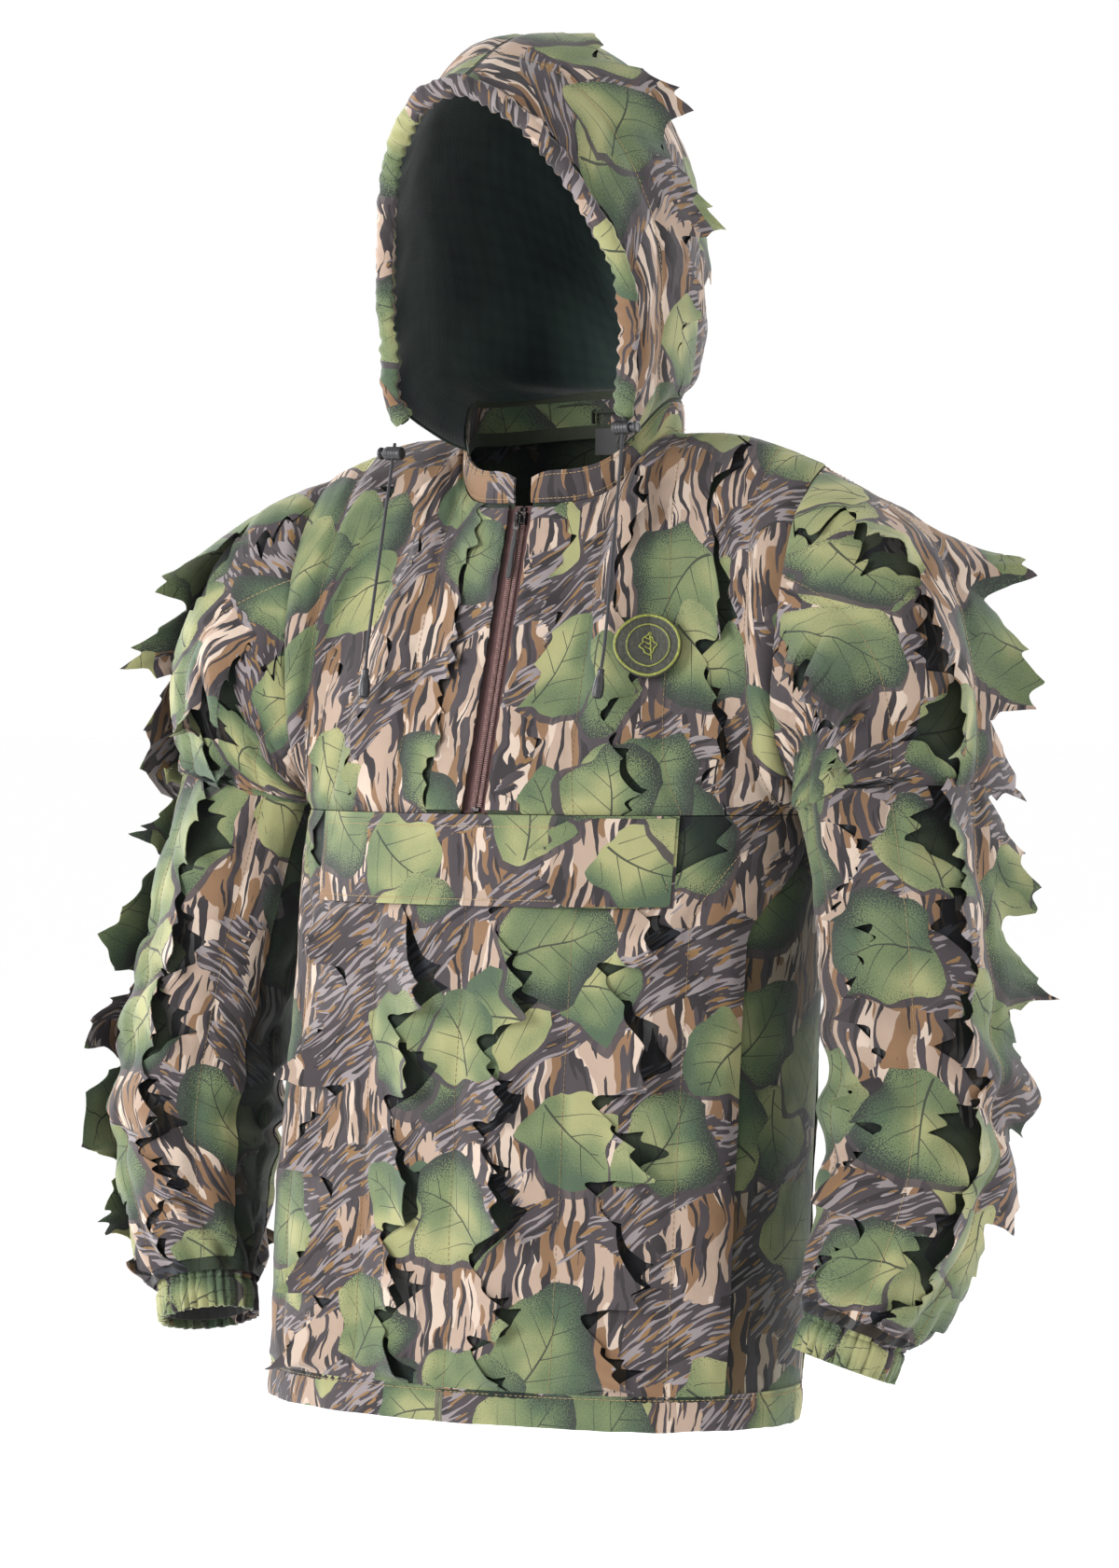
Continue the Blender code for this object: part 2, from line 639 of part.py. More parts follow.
def build_hood(base, leaf, cord, metal):
    us, vs = spaced(HOOD_START_U, 1.0, 12), spaced(0.0, 1.0, 12)

    def panel(u, v):
        p = hood(u, v)
        return Vector((max(p.x, SEAM), p.y, p.z))

    both_sides("hood_panel", panel, us, vs, base)
    leaf_distance = leaf_lift(0.72, 0.94, 0.010, 26)
    both_sides("leaf_layer_hood", lifted(hood, leaf_distance), us[1:-1], vs[1:-1], leaf, thick=LEAF_CLOTH)

    stations = []
    shares = spaced(-1, 1, CASING_STATIONS)
    for share in shares:
        centre = face_line(share)
        tangent = (face_line(min(1, share + 0.02)) - face_line(max(-1, share - 0.02))).normalized()
        inside = HOOD_CENTRE + Vector((0, 0.03, 0)) - centre
        across = (inside - tangent * inside.dot(tangent)).normalized()
        stations.append((centre, across, tangent.cross(across).normalized()))
    # Turned so that the wide side of the casing lies along the hood's cloth.
    lay = math.radians(38)
    turned_stations = []
    for centre, across, out in stations:
        turned_stations.append((
            centre, across * math.cos(lay) - out * math.sin(lay), across * math.sin(lay) + out * math.cos(lay),
        ))
    angles = [2 * math.pi * k / 8 for k in range(8)]
    outer = [(CASING_WIDE * math.cos(a), CASING_THICK * math.sin(a)) for a in angles]
    inner = [(CASING_HOLE * math.cos(a), CASING_HOLE * math.sin(a)) for a in angles]
    sweep("hood_casing", turned_stations, (outer, inner), base)
    line = [face_line(share) for share in shares]
    line[0], line[-1] = line[0].lerp(line[1], 0.2), line[-1].lerp(line[-2], 0.2)
    tube("hood_drawcord", line, CORD_RADIUS, cord)
    end, direction = face_line(1.0), (face_line(1.0) - face_line(0.98)).normalized()
    ring = [(0.0036, 0.0004), (0.0044, 0.0010), (0.0036, 0.0016), (0.0022, 0.0016), (0.0020, 0.0010), (0.0022, 0.0004)]
    for name, side in SIDES.items():
        at = place(Vector((side * end.x, end.y, end.z)), Vector((side * direction.x, direction.y, direction.z)),
                   Vector((0, 1, 0)))
        turned(f"eyelet_{name}", ring, metal, at, steps=16)


# ---------------------------------------------------------------- zip
def zip_frame():
    """A frame at the zip's lower end: X across, Z up the zip, Y into the body."""
    low, high = body(0.0, FLAP_V, True), body(0.0, 1.0, True)
    return place(low, high - low, Vector((1, 0, 0))), (high - low).length


def box(name, low, high, finish, at=None):
    outline = [(low[0], low[2]), (high[0], low[2]), (high[0], high[2]), (low[0], high[2])]
    return prism(name, outline, low[1], high[1], finish, at)


def teeth_outline(side, length):
    """One chain of teeth: a cord along the tape with a tooth at every pitch."""
    start, end = ZIP_END_MARGIN, length - ZIP_END_MARGIN
    root, tip = side * TOOTH_ROOT, side * TOOTH_TIP
    spine = side * (TOOTH_ROOT - 0.0011)
    outline = [(root, start), (root, end)]
    count = int((end - start) / TOOTH_PITCH)
    for k in reversed(range(count)):
        z = start + TOOTH_PITCH * k
        top, low = z + TOOTH_PITCH * 0.86, z + TOOTH_PITCH * 0.34
        outline += [(spine, top), (tip, top - 0.0006), (tip, low + 0.0006), (spine, low)]
    return outline


def build_zip(base, tape, coil, metal, rubber):
    at, length = zip_frame()
    tape_front = TAPE_DEPTH
    for name, side in SIDES.items():
        low_x, high_x = sorted((side * TAPE_INNER, side * TAPE_OUTER))
        box(f"zip_tape_{name}", (low_x, tape_front, 0.002), (high_x, tape_front + TAPE_THICK, length - 0.001), tape, at)
        prism(f"zip_teeth_{name}", teeth_outline(side, length), tape_front - 0.0004 - TOOTH_THICK,
              tape_front - 0.0004, coil, at)
        low_x, high_x = sorted((side * TOOTH_TIP, side * TOOTH_ROOT))
        top = length - ZIP_END_MARGIN
        box(f"zip_top_stop_{name}", (low_x, tape_front - 0.0028, top + 0.0004),
            (high_x, tape_front - 0.0004, top + 0.0004 + STOP_LENGTH), metal, at)
    box("zip_bottom_stop", (-TOOTH_ROOT, tape_front - 0.0028, ZIP_END_MARGIN - 0.0004 - STOP_LENGTH),
        (TOOTH_ROOT, tape_front - 0.0004, ZIP_END_MARGIN - 0.0004), metal, at)
    box("zip_guard", (-0.019, tape_front + 0.0060, 0.002), (0.019, tape_front + 0.0074, length - 0.004), base, at)
    slider_z = length - ZIP_END_MARGIN - SLIDER_LENGTH - 0.001
    build_slider(metal, at @ Matrix.Translation((0, 0, slider_z)))
    build_pull(metal, rubber, at @ Matrix.Translation((0, 0, slider_z)))

    for name, side in SIDES.items():
        placket(f"placket_{name}", side, base)


def chest_point_at(x, v):
    """The u of the chest's point at this distance from the middle and this v, by bisection."""
    low, high = 0.0, 0.6
    for _ in range(24):
        middle = (low + high) / 2
        if body(middle, v, True).x < x:
            low = middle
        else:
            high = middle
    return low


def placket(name, side, finish):
    """The stitched strip beside the zip, on the chest panel's face."""
    near, far = sorted((abs(PLACKET_INNER), abs(PLACKET_OUTER)))

    def strip(u, v):
        return body(chest_point_at(mix(near, far, u), v), v, True)

    raised = lifted(lambda u, v: strip(min(max(u, 0.0), 1.0), v), 0.0)

    def point(u, v):
        outward = (body(0.05, v, True) - body(0.05, v - 0.01, True)).cross(Vector((1, 0, 0))).normalized()
        p = strip(u, v)
        outward = outward if outward.y < 0 else -outward
        p = p + outward * (PLACKET_THICK + 0.0012)
        return Vector((side * p.x, p.y, p.z))

    cloth(name, point, [0, 0.5, 1.0], spaced(FLAP_V + 0.005, 0.955, 9), finish, thick=PLACKET_THICK, flip=side < 0)


def build_slider(metal, at):
    """Two plates joined by a web that runs in the gap between the chains, with side lips and a bridge."""
    depth = TAPE_DEPTH
    front_face = depth - 0.0004 - TOOTH_THICK - 0.0005
    plate, half, reach = SLIDER_PLATE, SLIDER_HALF_WIDTH, SLIDER_CHANNEL
    back_face = depth + TAPE_THICK + 0.0005
    length = SLIDER_LENGTH
    web = 0.0006
    lip = depth - 0.0004
    section = [
        (-half, front_face - plate), (half, front_face - plate), (half, lip), (reach, lip), (reach, front_face),
        (web, front_face), (web, back_face), (half, back_face), (half, back_face + plate),
        (-half, back_face + plate), (-half, back_face), (-web, back_face), (-web, front_face),
        (-reach, front_face), (-reach, lip), (-half, lip),
    ]
    n = len(section)
    points = [(x, y, z) for z in (0, length) for x, y in section]
    faces = [tuple(range(n)), tuple(range(n, 2 * n))]
    faces += [(i, (i + 1) % n, n + (i + 1) % n, n + i) for i in range(n)]
    block = solid_mesh("zip_slider", points, faces, metal, at)
    top = front_face - plate
    rise, bar, half_bridge = 0.0034 + PULL_RAISED, 0.0010, 0.0010
    arch = [
        (0.0012, top + 0.0004), (0.0012, top - rise), (length - 0.0012, top - rise), (length - 0.0012, top + 0.0004),
        (length - 0.0026, top + 0.0004), (length - 0.0026, top - rise + bar), (0.0026, top - rise + bar),
        (0.0026, top + 0.0004),
    ]
    m = len(arch)
    points = [(x, y, z) for x in (-half_bridge, half_bridge) for z, y in arch]
    faces = [tuple(range(m)), tuple(range(m, 2 * m))]
    faces += [(i, (i + 1) % m, m + (i + 1) % m, m + i) for i in range(m)]
    bridge = solid_mesh("slider_bridge_former", points, faces, metal, at)
    bridge.hide_render = True
    bridge.display_type = "WIRE"
    join = block.modifiers.new("Bridge", "BOOLEAN")
    join.operation = "UNION"
    join.object = bridge


def pull_axis():
    """Depth and height of the pull's pin in the slider's frame."""
    top = TAPE_DEPTH - 0.0004 - TOOTH_THICK - 0.0005 - SLIDER_PLATE
    return top - 0.0013 - PULL_RAISED, SLIDER_LENGTH - 0.0040


def build_pull(metal, rubber, at):
    """A flat link with a window for the slider's bridge, and the moulded tab on its end."""
    depth, height = pull_axis()
    half, thick = 0.0029, 0.0011
    link_end = 0.0125
    frame = at @ Matrix.Translation((0, depth, height))
    window = [(-0.0017, -0.0007), (0.0017, -0.0007), (0.0017, -0.0082), (-0.0017, -0.0082)]
    rim = [(-half, 0.0006), (half, 0.0006), (half, -link_end), (-half, -link_end)]
    n = 4
    points = [(x, y, z) for y in (-thick / 2, thick / 2) for ring in (rim, window) for x, z in ring]
    faces = []
    for layer in (0, 2 * n):
        faces += [(layer + k, layer + (k + 1) % n, layer + n + (k + 1) % n, layer + n + k) for k in range(n)]
    for ring in (0, n):
        faces += [(ring + k, ring + (k + 1) % n, 2 * n + ring + (k + 1) % n, 2 * n + ring + k) for k in range(n)]
    solid_mesh("pull_link", points, faces, metal, frame)
    wide = PULL_WIDE / 2
    outline = [(-wide * 0.7, 0), (wide * 0.7, 0), (wide, -0.004), (wide, -PULL_LENGTH + 0.002),
               (wide * 0.6, -PULL_LENGTH), (-wide * 0.6, -PULL_LENGTH), (-wide, -PULL_LENGTH + 0.002), (-wide, -0.004)]
    tab_at = frame @ Matrix.Translation((0, 0, -link_end - 0.0004))
    prism("pull_tab", outline, -PULL_THICK / 2, PULL_THICK / 2, rubber, tab_at)


# ---------------------------------------------------------------- pocket and badge
def build_pocket(base, lining):
    def flat(u, v):
        """The flap's outer face: u across, v from 0 at its top to 1 at its lower edge."""
        x = u * FLAP_HALF_WIDTH
        p = body_ring(side_u(abs(x)), FLAP_TOP_Z - v * FLAP_HEIGHT, True)
        return Vector((x, p.y - mix(*FLAP_STAND_OFF, v), p.z))

    cloth("pocket_flap", flat, spaced(-1, 1, 17), spaced(0, 1, 4), base, thick=FLAP_THICK, flip=True)

    def bag(u, v):
        x = u * POCKET_BAG_HALF_WIDTH
        z = FLAP_TOP_Z - 0.003 - v * POCKET_BAG_DEPTH
        edge = max(abs(u), 0.0) ** 4
        gap = mix(POCKET_BAG_GAP, 0.0025, edge) * mix(1.0, 0.3, v * v)
        surface = body_ring(side_u(abs(x)), z, True)
        return Vector((x, surface.y + FABRIC + gap, z))

    cloth("pocket_bag", bag, spaced(-1, 1, 11), spaced(0, 1, 5), lining, thick=0.0010, flip=True)


def side_u(x):
    """u of the point of a body ring at this distance from the middle plane."""
    half = CHEST_HALF_WIDTH
    return math.asin(min(1.0, (x / half)) ** (SQUARENESS / 2)) / (math.pi / 2)


def build_badge(rubber):
    """A moulded disc that follows the chest, on top of the leaf layer."""
    centre_u, centre_v = BADGE_PLACE
    step = 0.01
    across = (body(centre_u + step, centre_v) - body(centre_u - step, centre_v)).length / (2 * step)
    up = (body(centre_u, centre_v + step) - body(centre_u, centre_v - step)).length / (2 * step)
    face = lifted(chest, BADGE_LIFT + BADGE_THICK)
    points, rings, sides = [face(centre_u, centre_v)], 3, 20
    for ring in range(1, rings + 1):
        radius = BADGE_RADIUS * ring / rings
        for k in range(sides):
            angle = 2 * math.pi * k / sides
            du, dv = radius * math.cos(angle) / across, radius * math.sin(angle) / up
            points.append(face(centre_u + du, centre_v + dv))
    faces = [(0, 1 + k, 1 + (k + 1) % sides) for k in range(sides)]
    for ring in range(rings - 1):
        inner, outer = 1 + ring * sides, 1 + (ring + 1) * sides
        for k in range(sides):
            m = (k + 1) % sides
            faces.append((inner + k, outer + k, outer + m, inner + m))
    made = mesh_from("badge", points, faces, rubber)
    shell = made.modifiers.new("Rubber", "SOLIDIFY")
    shell.thickness = BADGE_THICK
    shell.offset = -1.0


# ---------------------------------------------------------------- drawcords
def build_cord(side_name, side, cord, plastic, metal):
    last = len(CORD_ROUTE) - 1
    rise = CORD_RISE[side_name]
    route = [Vector((side * p.x, p.y, p.z + rise * (1 - k / last))) for k, p in enumerate(CORD_ROUTE)]
    count = 28
    line = [through(route, k / count) for k in range(count + 1)]
    tube(f"hanging_cord_{side_name}", line, CORD_RADIUS, cord, sides=8)
    down = (route[1] - route[0]).normalized()
    lock_at = place(route[0] + down * LOCK_FROM_EXIT, -down, Vector((side, 0, 0)))
    build_lock(side_name, plastic, metal, lock_at)
    tip_direction = (route[-1] - route[-2]).normalized()
    tip_at = place(route[-1] + tip_direction * 0.0006, tip_direction, Vector((1, 0, 0)))
    profile = [(0, 0), (0.0020, 0), (0.0028, 0.004), (CORD_END_RADIUS, 0.016), (CORD_END_RADIUS, 0.021),
               (0.0034, CORD_END_LENGTH), (0, CORD_END_LENGTH)]
    turned(f"cord_end_{side_name}", profile, plastic, tip_at, steps=12)


def along_x(frame):
    """Turns a frame so that turned shapes, made about Z, lie along its X."""
    return frame @ Matrix.Rotation(math.pi / 2, 4, "Y")


def build_lock(name, plastic, metal, at):
    """Spring barrel lock. Its barrel lies across the cord, with the button on the outer side."""
    floor = 0.0010
    barrel = [
        (0, 0), (LOCK_RADIUS, 0), (LOCK_RADIUS, LOCK_LENGTH), (LOCK_BORE, LOCK_LENGTH), (LOCK_BORE, floor), (0, floor),
    ]
    base = along_x(at) @ Matrix.Translation((0, 0, -LOCK_LENGTH / 2 - 0.001))
    shell = turned(f"lock_barrel_{name}", barrel, plastic, base, steps=16)
    hole = turned(f"lock_hole_{name}", [(0, -0.010), (CORD_HOLE, -0.010), (CORD_HOLE, 0.010), (0, 0.010)], plastic,
                  at, steps=12)
    cut(shell, hole)
    top = LOCK_LENGTH + PLUNGER_OUT
    stem_end = top - PLUNGER_LENGTH - PLUNGER_HEAD
    plunger = [
        (0, stem_end), (PLUNGER_RADIUS, stem_end), (PLUNGER_RADIUS, top - PLUNGER_HEAD),
        (PLUNGER_HEAD_RADIUS, top - PLUNGER_HEAD), (PLUNGER_HEAD_RADIUS, top - 0.0008),
        (PLUNGER_HEAD_RADIUS - 0.0008, top), (0, top),
    ]
    button = turned(f"lock_button_{name}", plunger, plastic, base, steps=16)
    slot = 0.0019
    slot_form = box(f"button_slot_{name}", (-slot, -slot, -0.010), (slot + PRESS + 0.0003, slot, 0.010), plastic, at)
    cut(button, slot_form)
    turns, wire, radius = 2, 0.00025, 0.0026
    start, end = floor + wire + 0.0002, stem_end - wire - 0.0002
    steps = 12 * turns
    coil = []
    for k in range(steps + 1):
        angle = 2 * math.pi * turns * k / steps
        local = Vector((radius * math.cos(angle), radius * math.sin(angle), mix(start, end, k / steps)))
        coil.append(base @ local)
    tube(f"lock_spring_{name}", coil, wire, metal, sides=6)


# ---------------------------------------------------------------- the whole garment
FINISH = {}


def main():
    clear_scene()
    FINISH.update(
        base=material("printed_cloth", (0.20, 0.22, 0.13), 0.85),
        mesh=material("side_cloth", (0.10, 0.12, 0.07), 0.9),
        leaf=material("leaf_cloth", (0.26, 0.30, 0.15), 0.85),
        lining=material("lining", (0.06, 0.08, 0.07), 0.9),
        elastic=material("elastic", (0.08, 0.08, 0.08), 0.8),
        tape=material("zip_tape", (0.16, 0.10, 0.09), 0.8),
        coil=material("zip_coil", (0.22, 0.15, 0.14), 0.45),
        metal=material("dark_metal", (0.05, 0.05, 0.055), 0.4, 0.9),
        rubber=material("rubber", (0.02, 0.02, 0.02), 0.6),
        badge=material("badge", (0.33, 0.34, 0.10), 0.55),
        cord=material("cord", (0.07, 0.07, 0.08), 0.8),
        plastic=material("plastic", (0.02, 0.02, 0.022), 0.4),
    )
    build_body(FINISH["base"], FINISH["mesh"], FINISH["leaf"])
    build_sleeves(FINISH["base"], FINISH["leaf"], FINISH["elastic"])
    build_collar(FINISH["base"], FINISH["tape"])
    build_hood(FINISH["base"], FINISH["leaf"], FINISH["cord"], FINISH["metal"])
    build_zip(FINISH["base"], FINISH["tape"], FINISH["coil"], FINISH["metal"], FINISH["rubber"])
    build_pocket(FINISH["base"], FINISH["lining"])
    build_badge(FINISH["badge"])
    for name, side in SIDES.items():
        build_cord(name, side, FINISH["cord"], FINISH["plastic"], FINISH["metal"])


main()
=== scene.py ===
"""Looks of the leaf-cut camouflage pullover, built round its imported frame.

Metres, +Z up, front towards -Y, the wearer's left towards +X, as in the frame.
Cloth pieces are sampled from the garment's own surfaces, here as numpy functions of u and v.
"""

import math

import bpy
import numpy as np
from mathutils import Matrix, Vector


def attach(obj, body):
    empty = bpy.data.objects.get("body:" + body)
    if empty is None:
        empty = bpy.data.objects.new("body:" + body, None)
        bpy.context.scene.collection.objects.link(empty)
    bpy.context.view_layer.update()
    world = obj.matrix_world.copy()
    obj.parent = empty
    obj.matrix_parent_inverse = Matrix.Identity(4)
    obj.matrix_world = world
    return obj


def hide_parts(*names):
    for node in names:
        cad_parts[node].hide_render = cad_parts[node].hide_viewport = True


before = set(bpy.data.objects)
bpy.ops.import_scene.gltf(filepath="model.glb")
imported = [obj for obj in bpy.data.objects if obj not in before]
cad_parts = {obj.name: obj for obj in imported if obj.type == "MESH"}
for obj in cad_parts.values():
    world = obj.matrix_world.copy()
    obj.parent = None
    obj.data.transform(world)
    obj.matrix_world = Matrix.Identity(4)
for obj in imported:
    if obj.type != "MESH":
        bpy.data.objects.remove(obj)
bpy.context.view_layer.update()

JACKET = "jacket"
SIDES = {"left": 1.0, "right": -1.0}

# ---------------------------------------------------------------- the garment's surfaces, as in the CAD
HEM_Z, ARMPIT_Z = -0.750, -0.270
HEM_HALF_WIDTH, CHEST_HALF_WIDTH = 0.235, 0.230
HEM_FRONT, CHEST_FRONT, BELLY_SWELL = 0.130, 0.146, 0.004
HEM_BACK, CHEST_BACK = 0.128, 0.112
HEM_CENTRE_Y = -0.062
SQUARENESS = 2.2
ARMPIT_SHARE, SIDE_PANEL_U = 0.62, 0.72
HEM_BAND = 0.026
NECK_X, NECK_Y, NECK_FRONT, NECK_BACK = 0.095, 0.005, 0.080, 0.070
NECK_SIDE_Z, NECK_FRONT_DROP, NECK_BACK_RISE, NECK_U = 0.030, 0.056, 0.008, 0.42
SHOULDER_TIP, SHOULDER_SWELL = np.array((0.235, 0.005, 0.002)), 0.010
COLLAR_HEIGHT, COLLAR_FRONT_SHARE = 0.026, 0.265
SLEEVE_PIVOT = np.array((0.230, -0.006, ARMPIT_Z))
SLEEVE_BEND, BEND_SHARE = math.radians(80), 0.34
SLEEVE_RADIUS, SLEEVE_CAP_EXTRA = 0.069, 0.122
ARM_LINE = np.array([
    SLEEVE_PIVOT + SLEEVE_RADIUS * np.array((math.sin(SLEEVE_BEND), 0, math.cos(SLEEVE_BEND))),
    (0.3280, -0.026, -0.405), (0.3400, -0.050, -0.550), (0.3080, -0.080, -0.672),
])
ARM_RADII = np.array([0.0690, 0.0690, 0.0670, 0.0440])
CUFF_RADIUS, CUFF_LENGTH = 0.0375, 0.024
HOOD_CENTRE = np.array((0.0, -0.050, 0.170))
HOOD_RADII, HOOD_LOW_RADIUS, HOOD_SQUARENESS = (0.117, 0.146, 0.180), 0.30, 2.15
FACE_EDGE = [
    (0.1053, -0.0910, 0.0450), (0.1140, -0.0980, 0.1000), (0.1120, -0.1060, 0.1550),
    (0.0870, -0.1380, 0.2250),
    (0.0610, -0.1570, 0.2660), (0.0320, -0.1700, 0.2910), (0.0000, -0.1745, 0.3010),
]
BACK_SEAM = [(0.0, 0.0930, 0.1050), (0.0, 0.0950, 0.1900), (0.0, 0.0700, 0.2720)]
TOP_SEAM = [(0.0, -0.1745, 0.3010), (0.0, -0.1050, 0.3430), (0.0, -0.0100, 0.3450), (0.0, 0.0700, 0.2720)]
HOOD_ABOVE_COLLAR = 0.0032
CASING_START = 0.135
FLAP_HALF_WIDTH, FLAP_HEIGHT, FLAP_TOP_Z = 0.168, 0.072, ARMPIT_Z - 0.004
FLAP_STAND_OFF = (0.0018, 0.0036)
POCKET_BAG_DEPTH, POCKET_BAG_HALF_WIDTH, POCKET_BAG_GAP = 0.20, 0.150, 0.020
FABRIC = 0.0016
TAPE_DEPTH, TAPE_OUTER, TOOTH_ROOT, TOOTH_TIP = 0.0036, 0.0160, 0.0034, 0.0014
PLACKET_EDGE, PLACKET_OUTER = 0.0110, 0.0470
ZIP_HALF_GAP, ZIP_END_MARGIN = 0.0130, 0.006
PULL_RAISED, PULL_LENGTH = 0.0014, 0.040
SLIDER_LENGTH, LINK_LENGTH = 0.0105, 0.0125
BADGE_RADIUS, BADGE_LIFT, BADGE_THICK, BADGE_PLACE = 0.0265, 0.0062, 0.0018, (0.415, 0.766)
CORD_RADIUS = 0.0013
CORD_ROUTE = [
    (0.1090, -0.0960, 0.0340), (0.1094, -0.1000, 0.0140), (0.1098, -0.1040, -0.0060),
    (0.1102, -0.1080, -0.0260),
    (0.1106, -0.1120, -0.0460), (0.1110, -0.1160, -0.0660), (0.1114, -0.1200, -0.0860),
    (0.1118, -0.1240, -0.1060),
    (0.1122, -0.1280, -0.1260), (0.1122, -0.1316, -0.1440), (0.1114, -0.1344, -0.1580),
]
CORD_RISE = {"left": 0.006, "right": -0.010}  # the right one's start is 15 mm short of its eyelet
LOCK_FROM_EXIT, LOCK_LENGTH = 0.0085, 0.0160
PLUNGER_OUT, PLUNGER_LENGTH, PLUNGER_HEAD = 0.0065, 0.0145, 0.0030
FLAP_V = (FLAP_TOP_Z - HEM_Z) / (ARMPIT_Z - HEM_Z) * ARMPIT_SHARE
HEM_V = HEM_BAND / (ARMPIT_Z - HEM_Z) * ARMPIT_SHARE


def mix(a, b, t):
    return a + (b - a) * t


def ease(t):
    t = np.clip(t, 0.0, 1.0)
    return t * t * (3 - 2 * t)


def unit(v):
    return v / np.maximum(np.linalg.norm(v, axis=-1, keepdims=True), 1e-12)


def xyz(x, y, z):
    return np.stack(np.broadcast_arrays(x, y, z), axis=-1).astype(float)


def through(points, t):
    """A smooth curve through the points, for an array of t from 0 to 1."""
    points, t = np.asarray(points, float), np.asarray(t, float)
    last = len(points) - 1
    i = np.clip((t * last).astype(int), 0, last - 1)
    f = t * last - i
    if points.ndim > 1:
        f = f[..., None]
    p0, p1, p2, p3 = (points[np.clip(i + k, 0, last)] for k in (-1, 0, 1, 2))
    return 0.5 * (
        2 * p1 + (p2 - p0) * f + (2 * p0 - 5 * p1 + 4 * p2 - p3) * f**2 + (3 * p1 - p0 - 3 * p2 + p3) * f**3
    )


def neckline(u, front):
    angle = np.asarray(u, float) * math.pi / 2
    depth = -NECK_FRONT if front else NECK_BACK
    rise = -NECK_FRONT_DROP if front else NECK_BACK_RISE
    level = 1 - np.sin(angle) ** 5 if front else np.cos(angle) ** 2
    return xyz(NECK_X * np.sin(angle), NECK_Y + depth * np.cos(angle), NECK_SIDE_Z + rise * level)


def top_edge(u, front):
    share = np.clip((u - NECK_U) / (1 - NECK_U), 0, 1)
    neck_side = neckline(1.0, front)
    shoulder = mix(neck_side, SHOULDER_TIP, share[..., None])
    shoulder[..., 2] += SHOULDER_SWELL * np.sin(math.pi * share)
    return np.where((u <= NECK_U)[..., None], neckline(np.clip(u / NECK_U, 0, 1), front), shoulder)


def body_ring(u, z, front):
    t = (z - HEM_Z) / (ARMPIT_Z - HEM_Z)
    half = mix(HEM_HALF_WIDTH, CHEST_HALF_WIDTH, t)
    if front:
        depth = -(mix(HEM_FRONT, CHEST_FRONT, t) + BELLY_SWELL * np.sin(math.pi * t))
    else:
        depth = mix(HEM_BACK, CHEST_BACK, t)
    angle = np.minimum(u, 1.0) * math.pi / 2
    power = 2 / SQUARENESS
    across = np.maximum(np.sin(angle), 0) ** power
    away = np.maximum(np.cos(angle), 0) ** power
    return xyz(half * across, HEM_CENTRE_Y * (1 - t) + depth * away, z)


def body(u, v, front=True):
    """Outer face of the body's cloth. u is signed, 0 at the centre and 1 or -1 at the side."""
    u, v = np.broadcast_arrays(np.asarray(u, float), np.asarray(v, float))
    side, a = np.where(u < 0, -1.0, 1.0), np.abs(u)
    lower = body_ring(a, mix(HEM_Z, ARMPIT_Z, np.minimum(v, ARMPIT_SHARE) / ARMPIT_SHARE), front)
    out = -1.0 if front else 1.0
    low, top = body_ring(a, np.full_like(a, ARMPIT_Z), front), top_edge(a, front)
    edge = ease((a - 0.60) / 0.40)
    straight = ((1 - ease((a - 0.09) / 0.26)) if front else np.zeros_like(a))[..., None]
    above_low = low + xyz(0, out * 0.105 * edge, mix(0.075, 0.025, edge))
    under_top = top + xyz(0, out * mix(0.052, 0.095, edge), -mix(0.016, 0.045, edge))
    above_low = mix(above_low, mix(low, top, 1 / 3), straight)
    under_top = mix(under_top, mix(low, top, 2 / 3), straight)
    t = np.clip((v - ARMPIT_SHARE) / (1 - ARMPIT_SHARE), 0, 1)[..., None]
    s = 1 - t
    upper = low * s**3 + above_low * (3 * s * s * t) + under_top * (3 * s * t * t) + top * t**3
    p = np.where((v <= ARMPIT_SHARE)[..., None], lower, upper)
    return xyz(side * p[..., 0], p[..., 1], p[..., 2])


def armhole(turn):
    front = turn <= 0.5
    rise = np.where(front, 2 * turn, 2 * (1 - turn))
    v = ARMPIT_SHARE + (1 - ARMPIT_SHARE) * rise
    return np.where(front[..., None], body(1.0, v, True), body(1.0, v, False))


def arm_frame(t):
    centre = through(ARM_LINE, t)
    down = unit(through(ARM_LINE, np.minimum(1, t + 0.01)) - through(ARM_LINE, np.maximum(0, t - 0.01)))
    outward = unit(np.array((1.0, 0, 0)) - down * down[..., :1])
    return centre, outward, np.cross(outward, down), down


def sleeve(turn, along):
    """The left sleeve's outer face: along is 0 at the armhole, 1 at the cuff. turn starts at the underarm."""
    turn, along = np.broadcast_arrays(np.asarray(turn, float), np.asarray(along, float))
    turn = turn % 1.0
    c, s = np.cos(2 * math.pi * turn), np.sin(2 * math.pi * turn)
    bend = SLEEVE_BEND * np.minimum(along, BEND_SHARE) / BEND_SHARE
    tall = 2 * SLEEVE_RADIUS + SLEEVE_CAP_EXTRA * np.cos(bend) ** 2
    wide = SLEEVE_RADIUS + 0.012 * np.cos(bend)
    rise = tall / 2 * (1 - c)
    ring = SLEEVE_PIVOT + xyz(np.sin(bend) * rise, -wide * s, np.cos(bend) * rise)
    cap = mix(armhole(turn), ring, ease(bend / SLEEVE_BEND / 0.35)[..., None])
    t = np.clip((along - BEND_SHARE) / (1 - BEND_SHARE), 0, 1)
    centre, outward, back, _ = arm_frame(t)
    radius = through(ARM_RADII, t)
    arm = centre - outward * (radius * c)[..., None] - back * (radius * s)[..., None]
    return np.where((along < BEND_SHARE)[..., None], cap, arm)


def collar_top(u, front):
    base = neckline(u, front)
    return xyz(base[..., 0] * 0.985, NECK_Y + (base[..., 1] - NECK_Y) * 0.985, base[..., 2] + COLLAR_HEIGHT)


